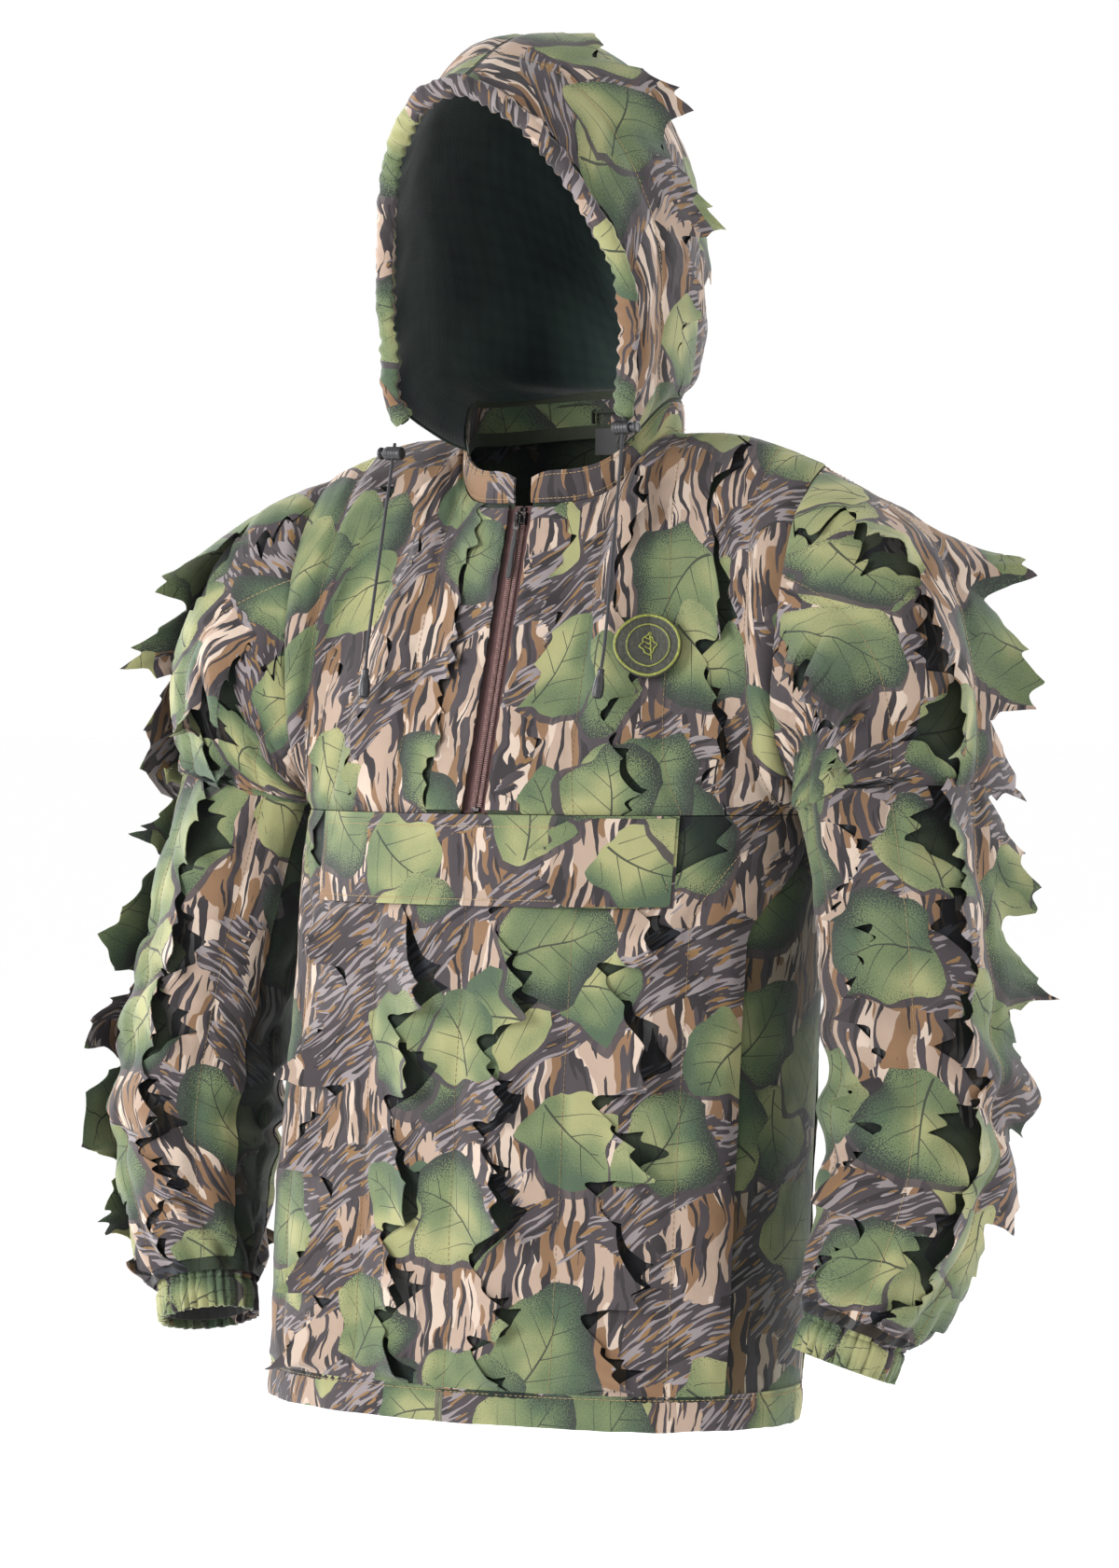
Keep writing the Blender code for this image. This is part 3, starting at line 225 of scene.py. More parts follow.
def hood_base(t):
    start = COLLAR_FRONT_SHARE * 2
    u = start + (2 - start) * np.asarray(t, float)
    p = np.where((u <= 1)[..., None], collar_top(u, True), collar_top(2 - u, False))
    return p + np.array((0, 0, HOOD_ABOVE_COLLAR))


def hood(u, v):
    """The left hood panel: u from the face edge to the back seam, v from the neck to the top seam."""
    u, v = np.broadcast_arrays(np.asarray(u, float), np.asarray(v, float))
    first, last = hood_base(0.0), hood_base(1.0)
    low, high = hood_base(u), through(TOP_SEAM, u)
    face, back = through([first, *FACE_EDGE], v), through([last, *BACK_SEAM], v)
    uu, vv = u[..., None], v[..., None]
    corners = (
        first * (1 - uu) * (1 - vv) + last * uu * (1 - vv)
        + np.array(TOP_SEAM[0]) * (1 - uu) * vv + np.array(TOP_SEAM[-1]) * uu * vv
    )
    p = low * (1 - vv) + high * vv + face * (1 - uu) + back * uu - corners
    ray = p - HOOD_CENTRE
    tall = np.where(ray[..., 2] > 0, HOOD_RADII[2], HOOD_LOW_RADIUS)
    size = sum(np.abs(ray[..., k] / (HOOD_RADII[k] if k < 2 else tall)) ** HOOD_SQUARENESS for k in range(3))
    shaped = HOOD_CENTRE + ray * (size ** (-1 / HOOD_SQUARENESS))[..., None]
    p = mix(p, shaped, (ease(u / 0.35) * ease(v / 0.18))[..., None])
    return xyz(np.maximum(p[..., 0], 0.0), p[..., 1], p[..., 2])


def side_panel_edge(v):
    return mix(SIDE_PANEL_U, 0.985, ease((np.asarray(v) / ARMPIT_SHARE - 0.80) / 0.20))


def side_u(x):
    return np.arcsin(np.minimum(1.0, x / CHEST_HALF_WIDTH) ** (SQUARENESS / 2)) / (math.pi / 2)


def face_line(share):
    """The casing's middle line: share -1 at the right end, 0 at the forehead, 1 at the left end."""
    share = np.asarray(share, float)
    p = through([hood_base(0.0), *FACE_EDGE], 1 - np.abs(share) * (1 - CASING_START))
    return xyz(np.where(share < 0, -p[..., 0], p[..., 0]), p[..., 1], p[..., 2])


def place(origin, z_axis, x_hint):
    z = Vector(z_axis).normalized()
    x = (Vector(x_hint) - z * z.dot(Vector(x_hint))).normalized()
    y = z.cross(x)
    return Matrix(((x.x, y.x, z.x, origin[0]), (x.y, y.y, z.y, origin[1]), (x.z, y.z, z.z, origin[2]),
                   (0, 0, 0, 1)))


# ---------------------------------------------------------------- noise and patches of cloth
def value_noise(x, y, seed):
    """Smooth noise from -1 to 1 with one lump for each unit square."""
    xi, yi = np.floor(x), np.floor(y)
    fx, fy = x - xi, y - yi
    fx, fy = fx * fx * (3 - 2 * fx), fy * fy * (3 - 2 * fy)

    def corner(i, j):
        h = np.sin((xi + i) * 127.1 + (yi + j) * 311.7 + seed * 74.7) * 43758.5453
        return 2 * (h - np.floor(h)) - 1

    low = mix(corner(0, 0), corner(1, 0), fx)
    high = mix(corner(0, 1), corner(1, 1), fx)
    return mix(low, high, fy)


def fractal(x, y, seed, octaves=3):
    total = sum(value_noise(x * 2**k, y * 2**k, seed + 13 * k) / 2**k for k in range(octaves))
    return total / (2 - 2 ** (1 - octaves))


def grid_normals(points):
    along = np.gradient(points, axis=1)
    up = np.gradient(points, axis=0)
    return unit(np.cross(along, up))


def run_along(line):
    """How far along the line each of its points is."""
    return np.concatenate([[0], np.cumsum(np.linalg.norm(np.diff(line, axis=0), axis=1))])


class Patch:
    """A stretch of the garment laid out in metres: s across and t up, with its cloth's folds."""

    STEP = 0.004

    def __init__(self, surface, low_u, high_u, centre_u, low_v, high_v, sign=1.0, folds=None, measure_u=None):
        us = np.linspace(low_u, high_u, 181)
        vs = np.linspace(low_v, high_v, 241)
        column = surface(np.full_like(vs, centre_u if measure_u is None else measure_u), vs)
        rise = run_along(column)
        self.length = rise[-1]
        self.rows = int(self.length / self.STEP) + 1
        self.t = np.linspace(0, self.length, self.rows)
        self.v_of_t = np.interp(self.t, rise, vs)
        uu, vv = np.meshgrid(us, self.v_of_t)
        grid = surface(uu, vv)
        run = np.linalg.norm(np.diff(grid, axis=1), axis=2)
        across = np.concatenate([np.zeros((self.rows, 1)), np.cumsum(run, axis=1)], axis=1)
        centre = np.array([np.interp(centre_u, us, row) for row in across])
        across -= centre[:, None]
        self.us, self.across = us, across
        self.low_s, self.high_s = across[:, 0], across[:, -1]
        self.s = np.arange(self.low_s.min() - 0.06, self.high_s.max() + 0.06, self.STEP)
        points = np.empty((self.rows, len(self.s), 3))
        for j in range(self.rows):
            for k in range(3):
                points[j, :, k] = np.interp(self.s, across[j], grid[j, :, k])
            before, after = np.minimum(self.s - self.low_s[j], 0), np.maximum(self.s - self.high_s[j], 0)
            first, last = unit(grid[j, 3] - grid[j, 0]), unit(grid[j, -1] - grid[j, -4])
            points[j] += before[:, None] * first + after[:, None] * last
        self.sign = sign
        if folds is not None:
            ss, tt = np.meshgrid(self.s, self.t)
            points = points + grid_normals(points) * sign * folds(self, ss, tt)[..., None]
        self.points = points
        self.normals = grid_normals(points) * sign
        risen = np.cumsum(np.linalg.norm(np.diff(points, axis=0), axis=2), axis=0)
        self.risen = np.concatenate([np.zeros((1, len(self.s))), risen])[..., None]

    def mirrored(self):
        other = Patch.__new__(Patch)
        other.__dict__.update(self.__dict__)
        flip = np.array((-1.0, 1.0, 1.0))
        other.points, other.normals = self.points * flip, self.normals * flip
        other.sign = -self.sign
        return other

    def s_at(self, u, t):
        """The distance across at which the surface has this u, for each height t."""
        rows = np.clip((np.asarray(t) / self.t[1]).astype(int), 0, self.rows - 1)
        pairs = zip(np.broadcast_to(u, rows.shape), rows)
        return np.array([np.interp(one, self.us, self.across[j]) for one, j in pairs])

    def read(self, table, s, t):
        i = np.clip((s - self.s[0]) / self.STEP, 0, len(self.s) - 1.001)
        j = np.clip(t / self.t[1], 0, self.rows - 1.001)
        i0, j0 = i.astype(int), j.astype(int)
        fi, fj = (i - i0)[..., None], (j - j0)[..., None]
        low = mix(table[j0, i0], table[j0, i0 + 1], fi)
        high = mix(table[j0 + 1, i0], table[j0 + 1, i0 + 1], fi)
        return mix(low, high, fj)

    def at(self, s, t, height=0.0):
        s, t = np.broadcast_arrays(np.asarray(s, float), np.asarray(t, float))
        return self.read(self.points, s, t) + unit(self.read(self.normals, s, t)) * np.asarray(height)[...,
                                                                                                       None]


# ---------------------------------------------------------------- meshes
def mesh_object(name, points, faces, finish, pattern=None, sharp=50, body_name=JACKET, slot=None):
    data = bpy.data.meshes.new(name)
    data.from_pydata(points.tolist() if hasattr(points, "tolist") else points, [], faces)
    data.validate()
    if pattern is not None:
        layer = data.attributes.new("pattern", "FLOAT_VECTOR", "POINT")
        layer.data.foreach_set("vector", np.asarray(pattern, np.float32).ravel())
    data.shade_smooth()
    data.set_sharp_from_angle(angle=math.radians(sharp))
    data.materials.append(finish)
    made = bpy.data.objects.new(name, data)
    bpy.context.scene.collection.objects.link(made)
    if body_name:
        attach(made, body_name)
    return made


def sheet_mesh(name, points, thick, finish, pattern, sign=1.0, ring=False, **how):
    """Cloth from its outer face, a grid of points by rows and columns, thickened inwards."""
    rows, cols = points.shape[:2]
    if ring:
        wrapped = np.concatenate([points[:, -1:], points, points[:, :1]], axis=1)
        normals = grid_normals(wrapped)[:, 1:-1] * sign
    else:
        normals = grid_normals(points) * sign
    inner = points - normals * thick
    both = np.concatenate([points.reshape(-1, 3), inner.reshape(-1, 3)])
    index = np.arange(rows * cols).reshape(rows, cols)
    if ring:
        index = np.concatenate([index, index[:, :1]], axis=1)
    a, b, c, d = index[:-1, :-1], index[:-1, 1:], index[1:, 1:], index[1:, :-1]
    outer = np.stack([a, b, c, d], axis=-1).reshape(-1, 4)
    off = rows * cols
    back = outer[:, ::-1] + off
    low, high = index[0], index[-1]
    rims = [
        np.stack([low[:-1], low[:-1] + off, low[1:] + off, low[1:]], axis=-1),
        np.stack([high[1:], high[1:] + off, high[:-1] + off, high[:-1]], axis=-1),
    ]
    if not ring:
        first, last = index[:, 0], index[:, -1]
        rims.append(np.stack([first[1:], first[1:] + off, first[:-1] + off, first[:-1]], axis=-1))
        rims.append(np.stack([last[:-1], last[:-1] + off, last[1:] + off, last[1:]], axis=-1))
    faces = np.concatenate([outer, back, *rims])
    if sign < 0:
        faces = faces[:, ::-1]
    flat = np.concatenate([pattern.reshape(-1, 3)] * 2) if pattern is not None else None
    return mesh_object(name, both, faces.tolist(), finish, flat, **how)


def pattern_grid(s, t, seed):
    return xyz(s, t, seed)


def ring_quads(rows, sides):
    """Faces between rings of points that follow one another."""
    faces = []
    for j in range(rows - 1):
        for i in range(sides):
            m = (i + 1) % sides
            faces.append((j * sides + i, j * sides + m, (j + 1) * sides + m, (j + 1) * sides + i))
    return faces


def tube_faces(rows, sides):
    """Faces of a tube that is closed at both ends."""
    first = tuple(reversed(range(sides)))
    last = tuple(range((rows - 1) * sides, rows * sides))
    return [*ring_quads(rows, sides), first, last]


def tube_mesh(points, radius, sides=8):
    """Points and faces of a round tube along a line."""
    points = np.asarray(points, float)
    tangent = unit(np.gradient(points, axis=0))
    helper = np.array((0.31, 0.77, 0.55))
    across = unit(np.cross(tangent, helper))
    for k in range(1, len(points)):
        across[k] = across[k - 1] - tangent[k] * (across[k - 1] @ tangent[k])
        across[k] /= np.linalg.norm(across[k])
    other = np.cross(tangent, across)
    angles = np.arange(sides) * 2 * math.pi / sides
    ring = (np.cos(angles)[None, :, None] * across[:, None] + np.sin(angles)[None, :, None] * other[:, None])
    verts = (points[:, None] + ring * radius).reshape(-1, 3)
    return verts, tube_faces(len(points), sides)


def joined(parts):
    """Several (points, faces) as one."""
    verts, faces, count = [], [], 0
    for points, quads in parts:
        verts.append(np.asarray(points))
        faces += [tuple(i + count for i in face) for face in quads]
        count += len(points)
    return np.concatenate(verts), faces


def lathe(profile, steps=24):
    """Points and faces of a closed profile of (radius, height) turned about Z. A radius of 0 is a pole."""
    points, rings = [], []
    for radius, height in profile:
        if radius == 0:
            rings.append([len(points)] * steps)
            points.append((0, 0, height))
            continue
        rings.append(list(range(len(points), len(points) + steps)))
        points += [
            (radius * math.cos(2 * math.pi * k / steps), radius * math.sin(2 * math.pi * k / steps), height)
            for k in range(steps)
        ]
    faces = []
    pairs = list(zip(rings, rings[1:]))
    if profile[0][0] != 0:
        pairs.append((rings[-1], rings[0]))
    for a, b in pairs:
        for k in range(steps):
            corners = list(dict.fromkeys([a[k], a[(k + 1) % steps], b[(k + 1) % steps], b[k]]))
            if len(corners) > 2:
                faces.append(tuple(corners))
    return np.array(points, float), faces


def moved(points, matrix):
    m = np.array(matrix)
    return np.asarray(points) @ m[:3, :3].T + m[:3, 3]


# ---------------------------------------------------------------- shader values
def with_other(operation):
    return lambda self, other: self.math(operation, other)


def alone(operation):
    return lambda self: self.math(operation)


class Sig:
    """A number or colour in a node tree. Arithmetic on it adds the nodes that work it out."""

    def __init__(self, tree, socket):
        self.tree, self.socket = tree, socket

    def math(self, operation, *others):
        node = self.tree.nodes.new("ShaderNodeMath")
        node.operation = operation
        for slot, value in zip(node.inputs, (self, *others)):
            connect(self.tree, slot, value)
        return Sig(self.tree, node.outputs[0])

    def __rsub__(self, other):
        return (self * -1.0).math("ADD", other)

    __add__ = __radd__ = with_other("ADD")
    __sub__ = with_other("SUBTRACT")
    __mul__ = __rmul__ = with_other("MULTIPLY")
    __truediv__ = with_other("DIVIDE")
    __gt__ = with_other("GREATER_THAN")
    __lt__ = with_other("LESS_THAN")
    __pow__ = with_other("POWER")
    sin = alone("SINE")
    cos = alone("COSINE")
    abs = alone("ABSOLUTE")
    fract = alone("FRACT")

    def step(self, low, high):
        """0 below low, 1 above high, smooth between."""
        node = self.tree.nodes.new("ShaderNodeMapRange")
        node.interpolation_type = "SMOOTHSTEP"
        connect(self.tree, node.inputs["Value"], self)
        node.inputs["From Min"].default_value = low
        node.inputs["From Max"].default_value = high
        return Sig(self.tree, node.outputs["Result"])


def connect(tree, slot, value):
    if isinstance(value, Sig):
        tree.links.new(value.socket, slot)
    elif hasattr(value, "__len__") and len(value) == 3 and len(slot.default_value) == 4:
        slot.default_value = (*value, 1.0)
    else:
        slot.default_value = value


def blend_colour(tree, share, first, second, kind="MIX"):
    node = tree.nodes.new("ShaderNodeMix")
    node.data_type = "RGBA"
    node.blend_type = kind
    connect(tree, node.inputs[0], share)
    connect(tree, node.inputs[6], first)
    connect(tree, node.inputs[7], second)
    return Sig(tree, node.outputs[2])


def vector(tree, x, y, z=0.0):
    node = tree.nodes.new("ShaderNodeCombineXYZ")
    for slot, value in zip(node.inputs, (x, y, z)):
        connect(tree, slot, value)
    return Sig(tree, node.outputs[0])


def parts_of(tree, value):
    node = tree.nodes.new("ShaderNodeSeparateXYZ")
    connect(tree, node.inputs[0], value)
    return tuple(Sig(tree, out) for out in node.outputs)


def noise(tree, x, y, detail=1.0, seed=0.0):
    node = tree.nodes.new("ShaderNodeTexNoise")
    node.noise_dimensions = "2D"
    node.inputs["Scale"].default_value = 1.0
    node.inputs["Detail"].default_value = detail
    node.inputs["Roughness"].default_value = 0.5
    connect(tree, node.inputs["Vector"], vector(tree, x + seed * 3.7, y + seed * 5.3))
    return Sig(tree, node.outputs["Fac"])


def cells(tree, x, y, randomness):
    """Each point's nearest cell centre and that cell's three random numbers."""
    node = tree.nodes.new("ShaderNodeTexVoronoi")
    node.voronoi_dimensions = "2D"
    node.inputs["Scale"].default_value = 1.0
    node.inputs["Randomness"].default_value = randomness
    connect(tree, node.inputs["Vector"], vector(tree, x, y))
    centre_x, centre_y, _ = parts_of(tree, Sig(tree, node.outputs["Position"]))
    return centre_x, centre_y, parts_of(tree, Sig(tree, node.outputs["Color"]))


def bands(tree, value, stops):
    """Flat colours that change at each stop."""
    node = tree.nodes.new("ShaderNodeValToRGB")
    ramp = node.color_ramp
    ramp.interpolation = "CONSTANT"
    for k, (place_at, colour) in enumerate(stops):
        stop = ramp.elements[k] if k < 2 else ramp.elements.new(place_at)
        stop.position = place_at
        stop.color = (*colour, 1)
    connect(tree, node.inputs[0], value)
    return Sig(tree, node.outputs[0])


def srgb(code):
    """A colour written as six hexadecimal digits, in linear light."""
    values = [int(code[k:k + 2], 16) / 255 for k in (0, 2, 4)]
    return tuple(v / 12.92 if v <= 0.04045 else ((v + 0.055) / 1.055) ** 2.4 for v in values)


TAN, PALE_TAN, BROWN, RUST = srgb("B29B8A"), srgb("CDB9A9"), srgb("86664A"), srgb("8A6A44")
BARK, BARK_DARK, BARK_GREY = srgb("433C41"), srgb("2C272B"), srgb("8F8688")
LEAF_PALE, LEAF_MID, LEAF_DEEP, LEAF_EDGE = srgb("A3A372"), srgb("6F7E57"), srgb("485C46"), srgb("323935")
VEIN = srgb("2F352E")


def bark_print(tree, x, y):
    """Upright tan and brown bark under charcoal streaks, crossed by aslant branches flecked with grain."""
    wander = noise(tree, x * 20, y * 20, seed=1) - 0.5
    shake = noise(tree, x * 130, y * 60, seed=12) - 0.5
    wx = x + wander * 0.020 + shake * 0.0034
    colour = blend_colour(tree, noise(tree, wx * 34, y * 15, seed=2) > 0.51, TAN, BROWN)
    colour = blend_colour(tree, noise(tree, wx * 60, y * 17, seed=13) > 0.60, colour, PALE_TAN)
    colour = blend_colour(tree, noise(tree, wx * 105, y * 12, detail=0.6, seed=14) > 0.575, colour, BARK)
    upright = blend_colour(tree, noise(tree, wx * 190, y * 21, detail=0.5, seed=15) > 0.615, colour,
                           BARK_DARK)

    along = x * 0.83 + y * 0.56
    over = y * 0.83 - x * 0.56 + wander * 0.010
    aslant = blend_colour(tree, noise(tree, along * 14, over * 110, seed=17) > 0.62, BARK, BARK_DARK)
    fleck = noise(tree, along * 40, over * 330, detail=0.5, seed=3)
    pale_part = noise(tree, along * 18, over * 50, seed=18)
    aslant = blend_colour(tree, fleck + pale_part * 0.5 > 0.83, aslant, BARK_GREY)
    aslant = blend_colour(tree, noise(tree, along * 50, over * 300, detail=0.5, seed=16) > 0.68, aslant, RUST)
    patch = noise(tree, along * 7, over * 16 + wander * 0.3, detail=1.0, seed=4) + (fleck - 0.5) * 0.06
    return blend_colour(tree, patch > 0.525, upright, aslant)


def leaf_print(tree, x, y, ground, pitch, seed, turned_by, present):
    """One layer of rounded printed leaves, pitch metres apart, with veins, stippled edges and a shadow."""
    cos0, sin0 = math.cos(turned_by), math.sin(turned_by)
    gx = x * (cos0 / pitch) - y * (sin0 / pitch) + seed * 3.17
    gy = x * (sin0 / pitch) + y * (cos0 / pitch) + seed * 1.73
    centre_x, centre_y, (turn, size, chance) = cells(tree, gx, gy, 0.30)
    dx, dy = gx - centre_x, gy - centre_y
    angle = turn * 6.3
    cos, sin = angle.cos(), angle.sin()
    across, up = dx * cos - dy * sin, dx * sin + dy * cos
    radius = (dx * dx + dy * dy) ** 0.5
    theta = across.math("ARCTAN2", up)
    scale = size * 0.11 + 0.31
    points = (theta * 2.5).sin().abs() * -0.17 + 0.08
    lobes = points + (theta * 3.0 + chance * 40.0).cos() * 0.11 + (theta * 7.0 + size * 30.0).cos() * 0.035
    wobble = noise(tree, gx * 6, gy * 6, seed=seed) - 0.5
    reach = scale * (lobes + 1.0) * (theta.cos() * 0.12 + 1.0)
    rel = radius / reach + wobble * 0.10
    shown = chance > 1 - present
    mask = (rel < 1.0) * shown

    # The midrib bends, and the side veins slant off it by turns.
    width = 0.0006 / pitch
    rib = across + up * up * 0.55
    off = rib.abs()
    main = (off < (1.25 - up * 1.9) * width) * (rel < 0.92)
    spacing = 0.17
    rung = (up - off * 0.85 + (rib > 0) * (spacing * 0.5)) * (1 / spacing) + size * 9.0
    near = (rung.fract() - 0.5).abs() * spacing
    side_vein = (near < (1.0 - off * 2.6) * (width * 0.95)) * (rel < 0.80) * (up > -0.26)
    vein = main.math("MAXIMUM", side_vein)

    stipple = noise(tree, x * 950, y * 950, detail=0.0, seed=seed + 5) - 0.5
    lit = noise(tree, gx * 2.6, gy * 2.6, seed=seed + 7) - 0.5
    lean = (across * 0.8 + up * 0.5) / scale
    shade = rel * 0.35 + lean * 0.42 + lit * 1.1 + (size - 0.5) * 0.35 + 0.14
    tone = blend_colour(tree, (shade + stipple * 0.25).step(-0.10, 0.38), LEAF_PALE, LEAF_MID)
    tone = blend_colour(tree, (shade + stipple * 0.5).step(0.30, 0.78), tone, LEAF_DEEP)
    rim = (rel + lean * 0.28 + stipple * 0.9).step(0.90, 1.04) * (size > 0.30)
    tone = blend_colour(tree, rim, tone, LEAF_EDGE)
    tone = blend_colour(tree, vein * 0.9, tone, VEIN)
    drop = (dx * 0.8 - dy * 0.6) / radius
    shadow = (rel < drop.math("MAXIMUM", 0.0) * 0.17 + 1.0) * shown * 0.92
    ground = blend_colour(tree, shadow, ground, BARK)
    return blend_colour(tree, mask, ground, tone)


def cloth_bump(tree, shader, x, y, weave=0.00045, strength=0.35, crinkle=0.35):
    """A woven bump with soft crinkles, in metres of the cloth's own layout."""
    thread = (x * (math.pi / weave)).sin() * (y * (math.pi / weave)).sin()
    lump = noise(tree, x * 95, y * 80, detail=3.0, seed=9)
    height = thread * 0.00004 * strength + lump * 0.0022 * crinkle
    add_bump(tree, shader, height, 0.8)


def add_bump(tree, shader, height, strength):
    """A bump whose height is in metres."""
    node = tree.nodes.new("ShaderNodeBump")
    node.inputs["Strength"].default_value = strength
    node.inputs["Distance"].default_value = 1.0
    tree.links.new(height.socket, node.inputs["Height"])
    tree.links.new(node.outputs[0], shader.inputs["Normal"])


def own_coordinates(tree):
    """The object's own coordinates in metres."""
    node = tree.nodes.new("ShaderNodeTexCoord")
    return parts_of(tree, Sig(tree, node.outputs["Object"]))


def new_material(name, roughness=0.8, metallic=0.0, sheen=0.0, colour=(0.1, 0.1, 0.1), specular=0.5,
                 coat=0.0):
    made = bpy.data.materials.new(name)
    made.use_nodes = True
    shader = made.node_tree.nodes["Principled BSDF"]
    shader.inputs["Base Color"].default_value = (*colour, 1)
    shader.inputs["Roughness"].default_value = roughness
    shader.inputs["Metallic"].default_value = metallic
    shader.inputs["Specular IOR Level"].default_value = specular
    shader.inputs["Sheen Weight"].default_value = sheen
    shader.inputs["Sheen Roughness"].default_value = 0.5
    shader.inputs["Coat Weight"].default_value = coat
    return made, made.node_tree, shader


def layout(tree):
    """The cloth's own coordinates in metres."""
    node = tree.nodes.new("ShaderNodeAttribute")
    node.attribute_name = "pattern"
    x, y, seed = parts_of(tree, Sig(tree, node.outputs["Vector"]))
    return x + seed * 1.37, y + seed * 0.73


def camouflage(name, bright=1.0, tint=(1, 1, 1), leaves=True):
    made, tree, shader = new_material(name, roughness=0.86, sheen=0.12, specular=0.25)
    x, y = layout(tree)
    colour = bark_print(tree, x, y)
    if leaves:
        colour = leaf_print(tree, x, y, colour, 0.108, 1, 0.35, 0.46)
        colour = leaf_print(tree, x, y, colour, 0.124, 2, 1.10, 0.42)
        colour = leaf_print(tree, x, y, colour, 0.114, 3, 2.05, 0.38)
    fade = noise(tree, x * 14, y * 14, detail=2.0, seed=6)
    colour = blend_colour(tree, fade * 0.12, colour, srgb("6E6860"))
    if bright != 1.0 or tint != (1, 1, 1):
        colour = blend_colour(tree, 1.0, colour, tuple(bright * c for c in tint), "MULTIPLY")
    tree.links.new(colour.socket, shader.inputs["Base Color"])
    cloth_bump(tree, shader, x, y)
    return made


def knit(name, pale, dark, pitch=0.0016):
    """Fine net: dark with a faint check of lighter threads."""
    made, tree, shader = new_material(name, roughness=0.9, sheen=0.25, specular=0.2)
    x, y = layout(tree)
    thread = ((x * (math.pi / pitch)).sin() * (y * (math.pi / pitch)).sin()).abs()
    broad = noise(tree, x * 18, y * 9, detail=3.0, seed=11)
    check = (x * 260).sin().abs() * 0.4 + (y * 190).sin().abs() * 0.4
    share = (broad * 1.3 - 0.35 + check * 0.25) * (thread * 0.4 + 0.6)
    colour = blend_colour(tree, share, dark, pale)
    tree.links.new(colour.socket, shader.inputs["Base Color"])
    add_bump(tree, shader, thread * 0.0003, 0.7)
    return made


def woven(name, colour, second, pitch=0.0011, roughness=0.85):
    """Tape, webbing and thread: ribs across in two close shades, from the object's own coordinates."""
    made, tree, shader = new_material(name, roughness=roughness, sheen=0.15, specular=0.3)
    x, y, z = own_coordinates(tree)
    rib = (((z + y * 0.3) * (math.pi / pitch)).sin() * (x * (math.pi / pitch)).sin()) * 0.5 + 0.5
    spread = noise(tree, x * 160, z * 160, detail=2.0, seed=2)
    tint = blend_colour(tree, rib * 0.55 + spread * 0.45, colour, second)
    tree.links.new(tint.socket, shader.inputs["Base Color"])
    add_bump(tree, shader, rib * 0.00015, 0.6)
    return made


def moulded(name, colour, roughness, metallic=0.0, worn=None, grain=0.00006):
    """Plastic, rubber or painted metal with a fine grain, scuffed paler in scattered patches."""
    made, tree, shader = new_material(name, roughness=roughness, metallic=metallic, specular=0.5)
    x, y, z = own_coordinates(tree)
    cloud = noise(tree, (x + y) * 420, (z - y) * 420, detail=3.0, seed=4)
    scuff = noise(tree, (x - y) * 1500, (z + y) * 1500, detail=2.0, seed=8)
    pale = worn or tuple(min(1, 2.2 * c + 0.012) for c in colour)
    tint = blend_colour(tree, (cloud + scuff * 0.6).step(0.72, 1.1) * 0.7, colour, pale)
    tree.links.new(tint.socket, shader.inputs["Base Color"])
    tree.links.new((cloud * 0.25 + (roughness - 0.10)).socket, shader.inputs["Roughness"])
    add_bump(tree, shader, scuff * grain, 0.5)
    return made


FINISH = {
    "camo": camouflage("printed_camouflage", 0.68),
    "under": camouflage("printed_mesh", 0.11, (0.75, 0.95, 1.15)),
    "side": camouflage("printed_side_mesh", 0.36, (0.9, 1.0, 0.95)),
    "lining": knit("mesh_lining", srgb("33443F"), srgb("0E1618")),
    "tape": woven("zip_tape_weave", srgb("573D3B"), srgb("3C2829")),
    "coil": moulded("zip_coil_nylon", srgb("6E5350"), 0.42),
    "metal": moulded("blackened_metal", srgb("1B1A1C"), 0.38, 0.85, worn=srgb("6A6460")),
    "steel": moulded("spring_wire", srgb("9A9A9C"), 0.3, 1.0),
    "plastic": moulded("black_nylon", srgb("1A1A1D"), 0.42),
    "rubber": moulded("pull_rubber", srgb("161618"), 0.62),
    "badge": moulded("badge_rubber", srgb("6E7230"), 0.55),
    "badge_dark": moulded("badge_recess", srgb("2A2B22"), 0.6),
    "cord": woven("braided_cord", srgb("3A3A3E"), srgb("1D1D20"), 0.0009),
    "elastic": woven("braided_elastic", srgb("3C3C3C"), srgb("222222")),
    "thread": woven("tan_thread", srgb("A8916B"), srgb("8A7350"), 0.0006),
    "loop": woven("loop_tape", srgb("33382B"), srgb("22261C")),
    "label": woven("label_satin", srgb("2B2B2B"), srgb("1D1D1D"), 0.0005, 0.5),
}


# ---------------------------------------------------------------- camera, light and floor
CAMERA_AZIMUTH, CAMERA_DISTANCE, CAMERA_Z = math.radians(32), 4.5, -0.161
FRAME_WIDE, FRAME_TALL = 1200, 1681
METRES_PER_PIXEL = 0.00076  # at the origin's distance
AXIS_AT = (613, 720)  # where the camera's level line through the origin's upright meets the frame


def look_along(azimuth):
    return Vector((-math.sin(azimuth), math.cos(azimuth), 0)), Vector((math.cos(azimuth), math.sin(azimuth),
                                                                       0))


def add_camera():
    forward, right = look_along(CAMERA_AZIMUTH)
    data = bpy.data.cameras.new("camera")
    tall = FRAME_TALL * METRES_PER_PIXEL
    data.sensor_fit = "VERTICAL"
    data.angle = 2 * math.atan(tall / 2 / CAMERA_DISTANCE)
    data.shift_x = (FRAME_WIDE / 2 - AXIS_AT[0]) / FRAME_TALL
    data.shift_y = (AXIS_AT[1] - FRAME_TALL / 2) / FRAME_TALL
    camera = bpy.data.objects.new("camera", data)
    bpy.context.scene.collection.objects.link(camera)
    camera.location = -forward * CAMERA_DISTANCE + Vector((0, 0, CAMERA_Z))
    camera.rotation_euler = forward.to_track_quat("-Z", "Y").to_euler()
    bpy.context.scene.camera = camera


